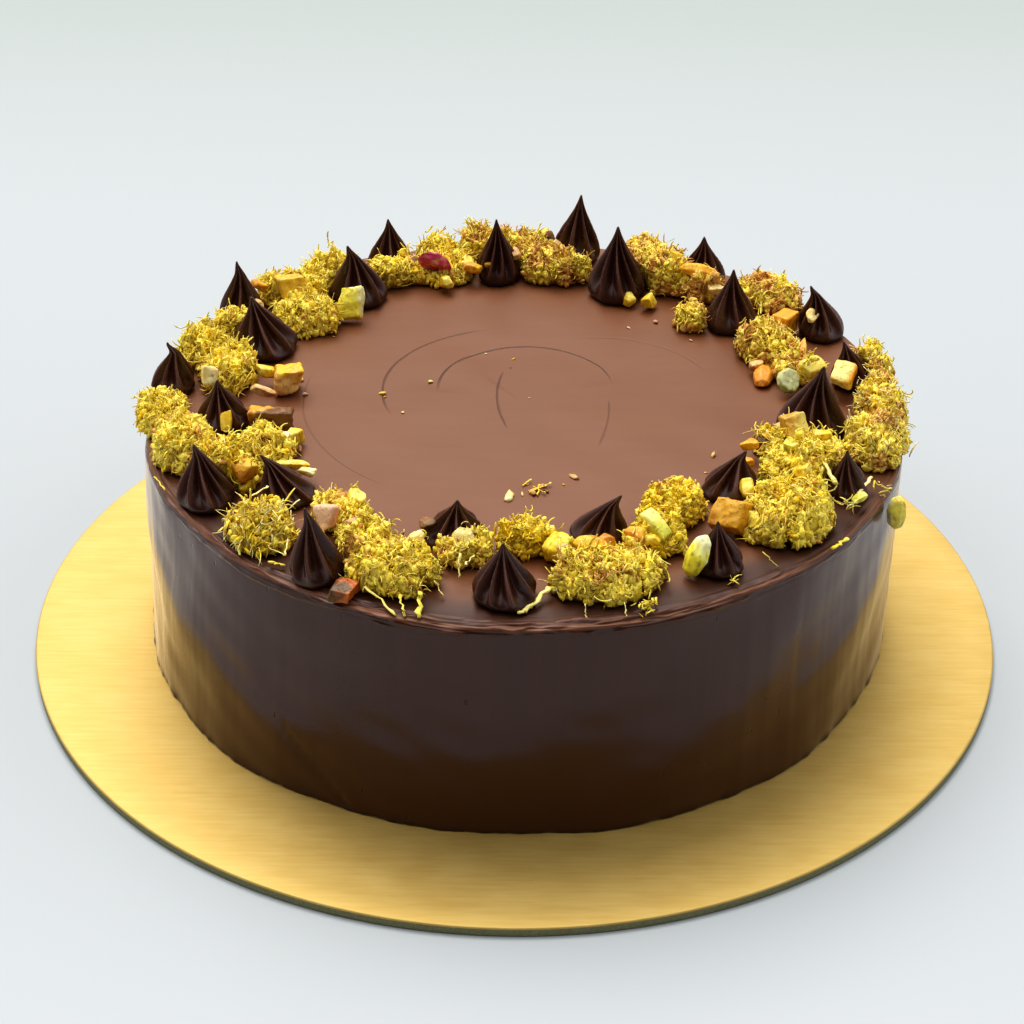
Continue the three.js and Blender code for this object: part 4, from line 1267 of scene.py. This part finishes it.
# Single strands that hang off the clumps or lie on the icing, each: angle, distance and height of
# its two ends, its width in the middle and how pale it is
STRIPS = [
    (-111.5, 116.3, 3.5, -106.3, 121.9, 0.5, 1.6, 0.7),
    (-106.5, 115.9, 3.0, -105.1, 121.6, 0.5, 1.2, 0.6),
    (-104.0, 114.6, 4.0, -103.2, 121.2, 0.3, 2.0, 0.1),
    (-102.9, 108.5, 4.0, -101.2, 110.6, 1.0, 0.8, 0.8),
    (-86.4, 107.4, 3.0, -90.0, 115.8, 1.0, 2.3, 0.75),
    (-89.2, 113.6, 1.2, -90.9, 116.2, 0.9, 1.9, 0.7),
    (-81.9, 115.8, 3.0, -82.1, 119.2, 0.4, 0.7, 0.8),
    (-76.8, 116.8, 3.0, -76.9, 120.6, 0.2, 0.7, 0.8),
    (-26.1, 112.4, 4.0, -31.9, 112.2, 3.4, 1.5, 0.9),
    (-26.2, 94.4, 9.5, -33.6, 106.9, 7.5, 2.2, 0.75),
    (-28.0, 98.0, 9.8, -33.0, 105.0, 8.2, 1.4, 0.9),
    (-132.3, 104.4, 5.0, -131.3, 95.6, 8.5, 0.8, 0.9),
    (-133.4, 107.1, 5.0, -132.5, 100.3, 8.5, 0.8, 0.9),
    (-130.6, 113.3, 4.0, -125.4, 113.4, 3.0, 0.9, 0.8),
    (-125.4, 113.4, 3.0, -127.1, 108.3, 4.5, 0.8, 0.8),
    (-131.2, 119.1, 1.4, -135.4, 114.6, 3.0, 0.9, 0.8),
    (-137.0, 117.0, 2.6, -137.4, 110.4, 4.0, 1.0, 0.6),
    (-138.4, 113.4, 4.0, -135.0, 108.0, 5.0, 0.8, 0.9),
    (-138.7, 103.3, 7.0, -138.4, 97.5, 8.5, 1.2, 0.9),
    (-124.6, 115.4, 1.4, -126.7, 117.2, 2.0, 1.6, 0.3),
    (-99.7, 104.3, 3.0, -100.1, 99.0, 7.5, 1.0, 0.8),
    (-98.0, 98.4, 7.0, -99.2, 101.6, 5.5, 0.8, 0.8),
    (-155.4, 118.6, 2.0, -152.1, 117.6, 1.0, 0.9, 0.5),
    (-44.3, 119.6, 1.0, -40.9, 119.8, 1.2, 1.6, 0.3),
    (-53.0, 115.9, 0.8, -54.0, 111.4, 4.0, 0.8, 0.6),
    (-88.5, 54.0, 0.5, -84.0, 51.5, 1.1, 0.7, 0.2),
    (-87.0, 50.5, 0.5, -83.5, 55.0, 0.8, 0.6, 0.1),
    (-90.5, 50.0, 0.4, -87.5, 47.0, 0.8, 0.7, 0.3),
    (-84.5, 52.0, 0.8, -81.0, 49.5, 0.9, 0.6, 0.5),
    (-86.0, 55.5, 0.5, -85.0, 51.0, 1.4, 0.7, 0.2),
]


def strip_part(strip, seed):
    """One such strand: a line between its ends that wavers, with knobs along it."""
    ends = np.array([place_on_top(*strip[0:3]), place_on_top(*strip[3:6])])
    width, paleness = strip[6:]
    draw = np.random.default_rng(seed)
    steps = 9
    along = np.linspace(0, 1, steps)[:, None]
    waver = 0.24 * np.sqrt(width) * draw.normal(size=(steps, 3)) * [1, 1, 0.4]
    path = ends[0] * (1 - along) + ends[1] * along + waver * np.sin(np.pi * along) ** 0.5
    knobs = draw.uniform(0.7, 1.1, steps) * np.array([1.0, 0.9, 0.8, 0.75, 0.75, 0.8, 0.9, 1.1, 0.9])
    points, faces = tubes(path[None], (width / 2 * knobs)[None], 0.5, 7)
    return points, faces, {"tint": 0.45, "pale": paleness + 0.25, "depth": 1.0}


def crumb_part(crumb, seed):
    """One crumb on the top: a small icosahedron with uneven corners, a little longer than high."""
    x, y, size, colour = crumb
    draw = np.random.default_rng(seed)
    points, faces = icosahedron()
    points = points * draw.uniform(0.6, 1.2, (12, 1)) * size / 2 * np.array([1.35, 0.75, 0.5])
    points = turned(points, draw.uniform(0, 360), 0, draw.uniform(-20, 20), 0)
    floor = CAKE_TOP + top_relief(np.array([x, y]))
    points = points - [0, 0, points[:, 2].min() + 0.1 * size] + [x, y, floor]
    points, faces = refine(points, faces)
    return points, [faces], {"flesh": paint(points, CHIP_COLOURS[colour], seed)}


def scrap_part(scrap, seed):
    """One scrap: curled strands round a place, lying roughly one way."""
    degrees, distance, height, spread, count, reach, paleness = scrap
    draw = np.random.default_rng(seed)
    middle = place_on_top(degrees, distance, height)
    root = middle + draw.normal(size=(count, 3)) * spread * [0.5, 0.5, 0.25]
    shared = draw.normal(size=3)
    way = unit((draw.normal(size=(count, 3)) + shared) * [1, 1, 0.3])
    bow = unit(np.cross(way, draw.normal(size=(count, 3))))
    length = draw.uniform(0.3, 0.8, (count, 1)) * reach
    turn = draw.uniform(0.3, 1.8, (count, 1))
    path = arcs(root - 0.5 * length * way, way, bow, length, turn, HAIR_STEPS)
    away = np.linalg.norm(path[..., :2] - TOP_CENTRE, axis=-1)
    path[..., 2] = np.where(away < RIM, np.maximum(path[..., 2], CAKE_TOP + 0.4), path[..., 2])
    path = path[clear_of_others(path)]
    thick = draw.uniform(0.15, 0.5, (len(path), 1)) * [0.7, 1, 1, 0.9, 0.5]
    points, faces = tubes(path, thick, 0.6)
    pale = np.repeat(paleness + 0.5 * draw.uniform(size=len(path)), HAIR_STEPS * STRAND_SIDES)
    return points, faces, {"tint": 0.55, "pale": pale, "depth": 1.0}


points, faces, looks = join([crumb_part(crumb, 700 + i) for i, crumb in enumerate(CRUMBS)])
add_piece("crumbs", points, faces, nut_flesh, "pistachio", (), looks)
points, faces, looks = join(
    [scrap_part(scrap, 800 + i) for i, scrap in enumerate(SCRAPS)]
    + [strip_part(strip, 850 + i) for i, strip in enumerate(STRIPS)]
)
add_piece("kunafa_scraps", points, faces, kunafa, "kunafa_strands", (), looks)

# The table, the light and the camera. The cake was photographed from above on a plain white table
# in a pale room, under broad soft light from overhead and behind, with little of it from the front.


def describe_table(place):
    """White, with painted light making it a little lighter towards the camera and painted shade
    making it greyer far behind, by y in millimetres.
    """
    y = place.parts()[1]
    near = y.ramp(-350, 100).mix(srgb(193, 195, 196), srgb(184, 186, 187))
    return {"Base Color": y.ramp(250, 750).mix(near, srgb(168, 173, 168)), "Roughness": 0.8}


TABLE_REACH = 6.0
table_mesh = bpy.data.meshes.new("table")
corners = [(x * TABLE_REACH, y * TABLE_REACH, 0) for x, y in ((-1, -1), (1, -1), (1, 1), (-1, 1))]
table_mesh.from_pydata(corners, [], [(0, 1, 2, 3)])
table_mesh.materials.append(make_material("table_top", describe_table, Specular_IOR_Level=0.2))
table = show("table", table_mesh)

# The room: dim towards the front, pale walls at the sides and behind, and a bright ceiling
world = bpy.data.worlds.new("room")
world.use_nodes = True
bpy.context.scene.world = world
way = Value(world.node_tree, world.node_tree.nodes.new("ShaderNodeTexCoord").outputs["Generated"])
aside, behind, above = way.parts()
ceiling = above.ramp(0.6, 0.86)
wall = 0.055 + 0.5 * behind.ramp(-0.45, 0.3) + 0.5 * (aside * aside).ramp(0.4, 0.9)
background = world.node_tree.nodes["Background"]
background.inputs["Color"].default_value = (0.93, 0.97, 1.0, 1.0)
strength = ceiling * 1.1 + (1 - ceiling) * wall
world.node_tree.links.new(strength.socket, background.inputs["Strength"])

# A square window overhead and behind, facing the cake
WINDOW_PLACE = Vector((-0.9, 2.8, 5.2))
WINDOW_AIM = Vector((0, 0, 0.05))
window_light = bpy.data.lights.new("window", "AREA")
window_light.shape = "SQUARE"
window_light.size = 4.2
window_light.energy = 225
window_light.color = (1.0, 0.98, 0.95)
window = show("window", window_light)
window.location = WINDOW_PLACE
window.rotation_euler = (WINDOW_PLACE - WINDOW_AIM).to_track_quat("Z", "Y").to_euler()

# The camera, from the fit to the photo: it looks down at the cake from the front, at a place in
# metres
PITCH, YAW, ROLL = (math.radians(a) for a in (31.887, -0.105, 0.391))
CAMERA_PLACE = np.array([0, -0.5888, 0.4045])
forward = [math.sin(YAW) * math.cos(PITCH), math.cos(YAW) * math.cos(PITCH), -math.sin(PITCH)]
forward = np.array(forward)
level = np.array([math.cos(YAW), -math.sin(YAW), 0])
upright = np.cross(level, forward)
right = level * math.cos(ROLL) + upright * math.sin(ROLL)
up = upright * math.cos(ROLL) - level * math.sin(ROLL)
camera_data = bpy.data.cameras.new("camera")
camera_data.sensor_width = 36
camera_data.lens = 77.34
camera = show("camera", camera_data)
turn = np.eye(4)
turn[:3] = np.stack([right, up, -forward, CAMERA_PLACE], -1)
camera.matrix_world = Matrix(turn.tolist())
bpy.context.scene.camera = camera
bpy.context.scene.view_settings.view_transform = "Standard"
bpy.context.scene.view_settings.look = "High Contrast"
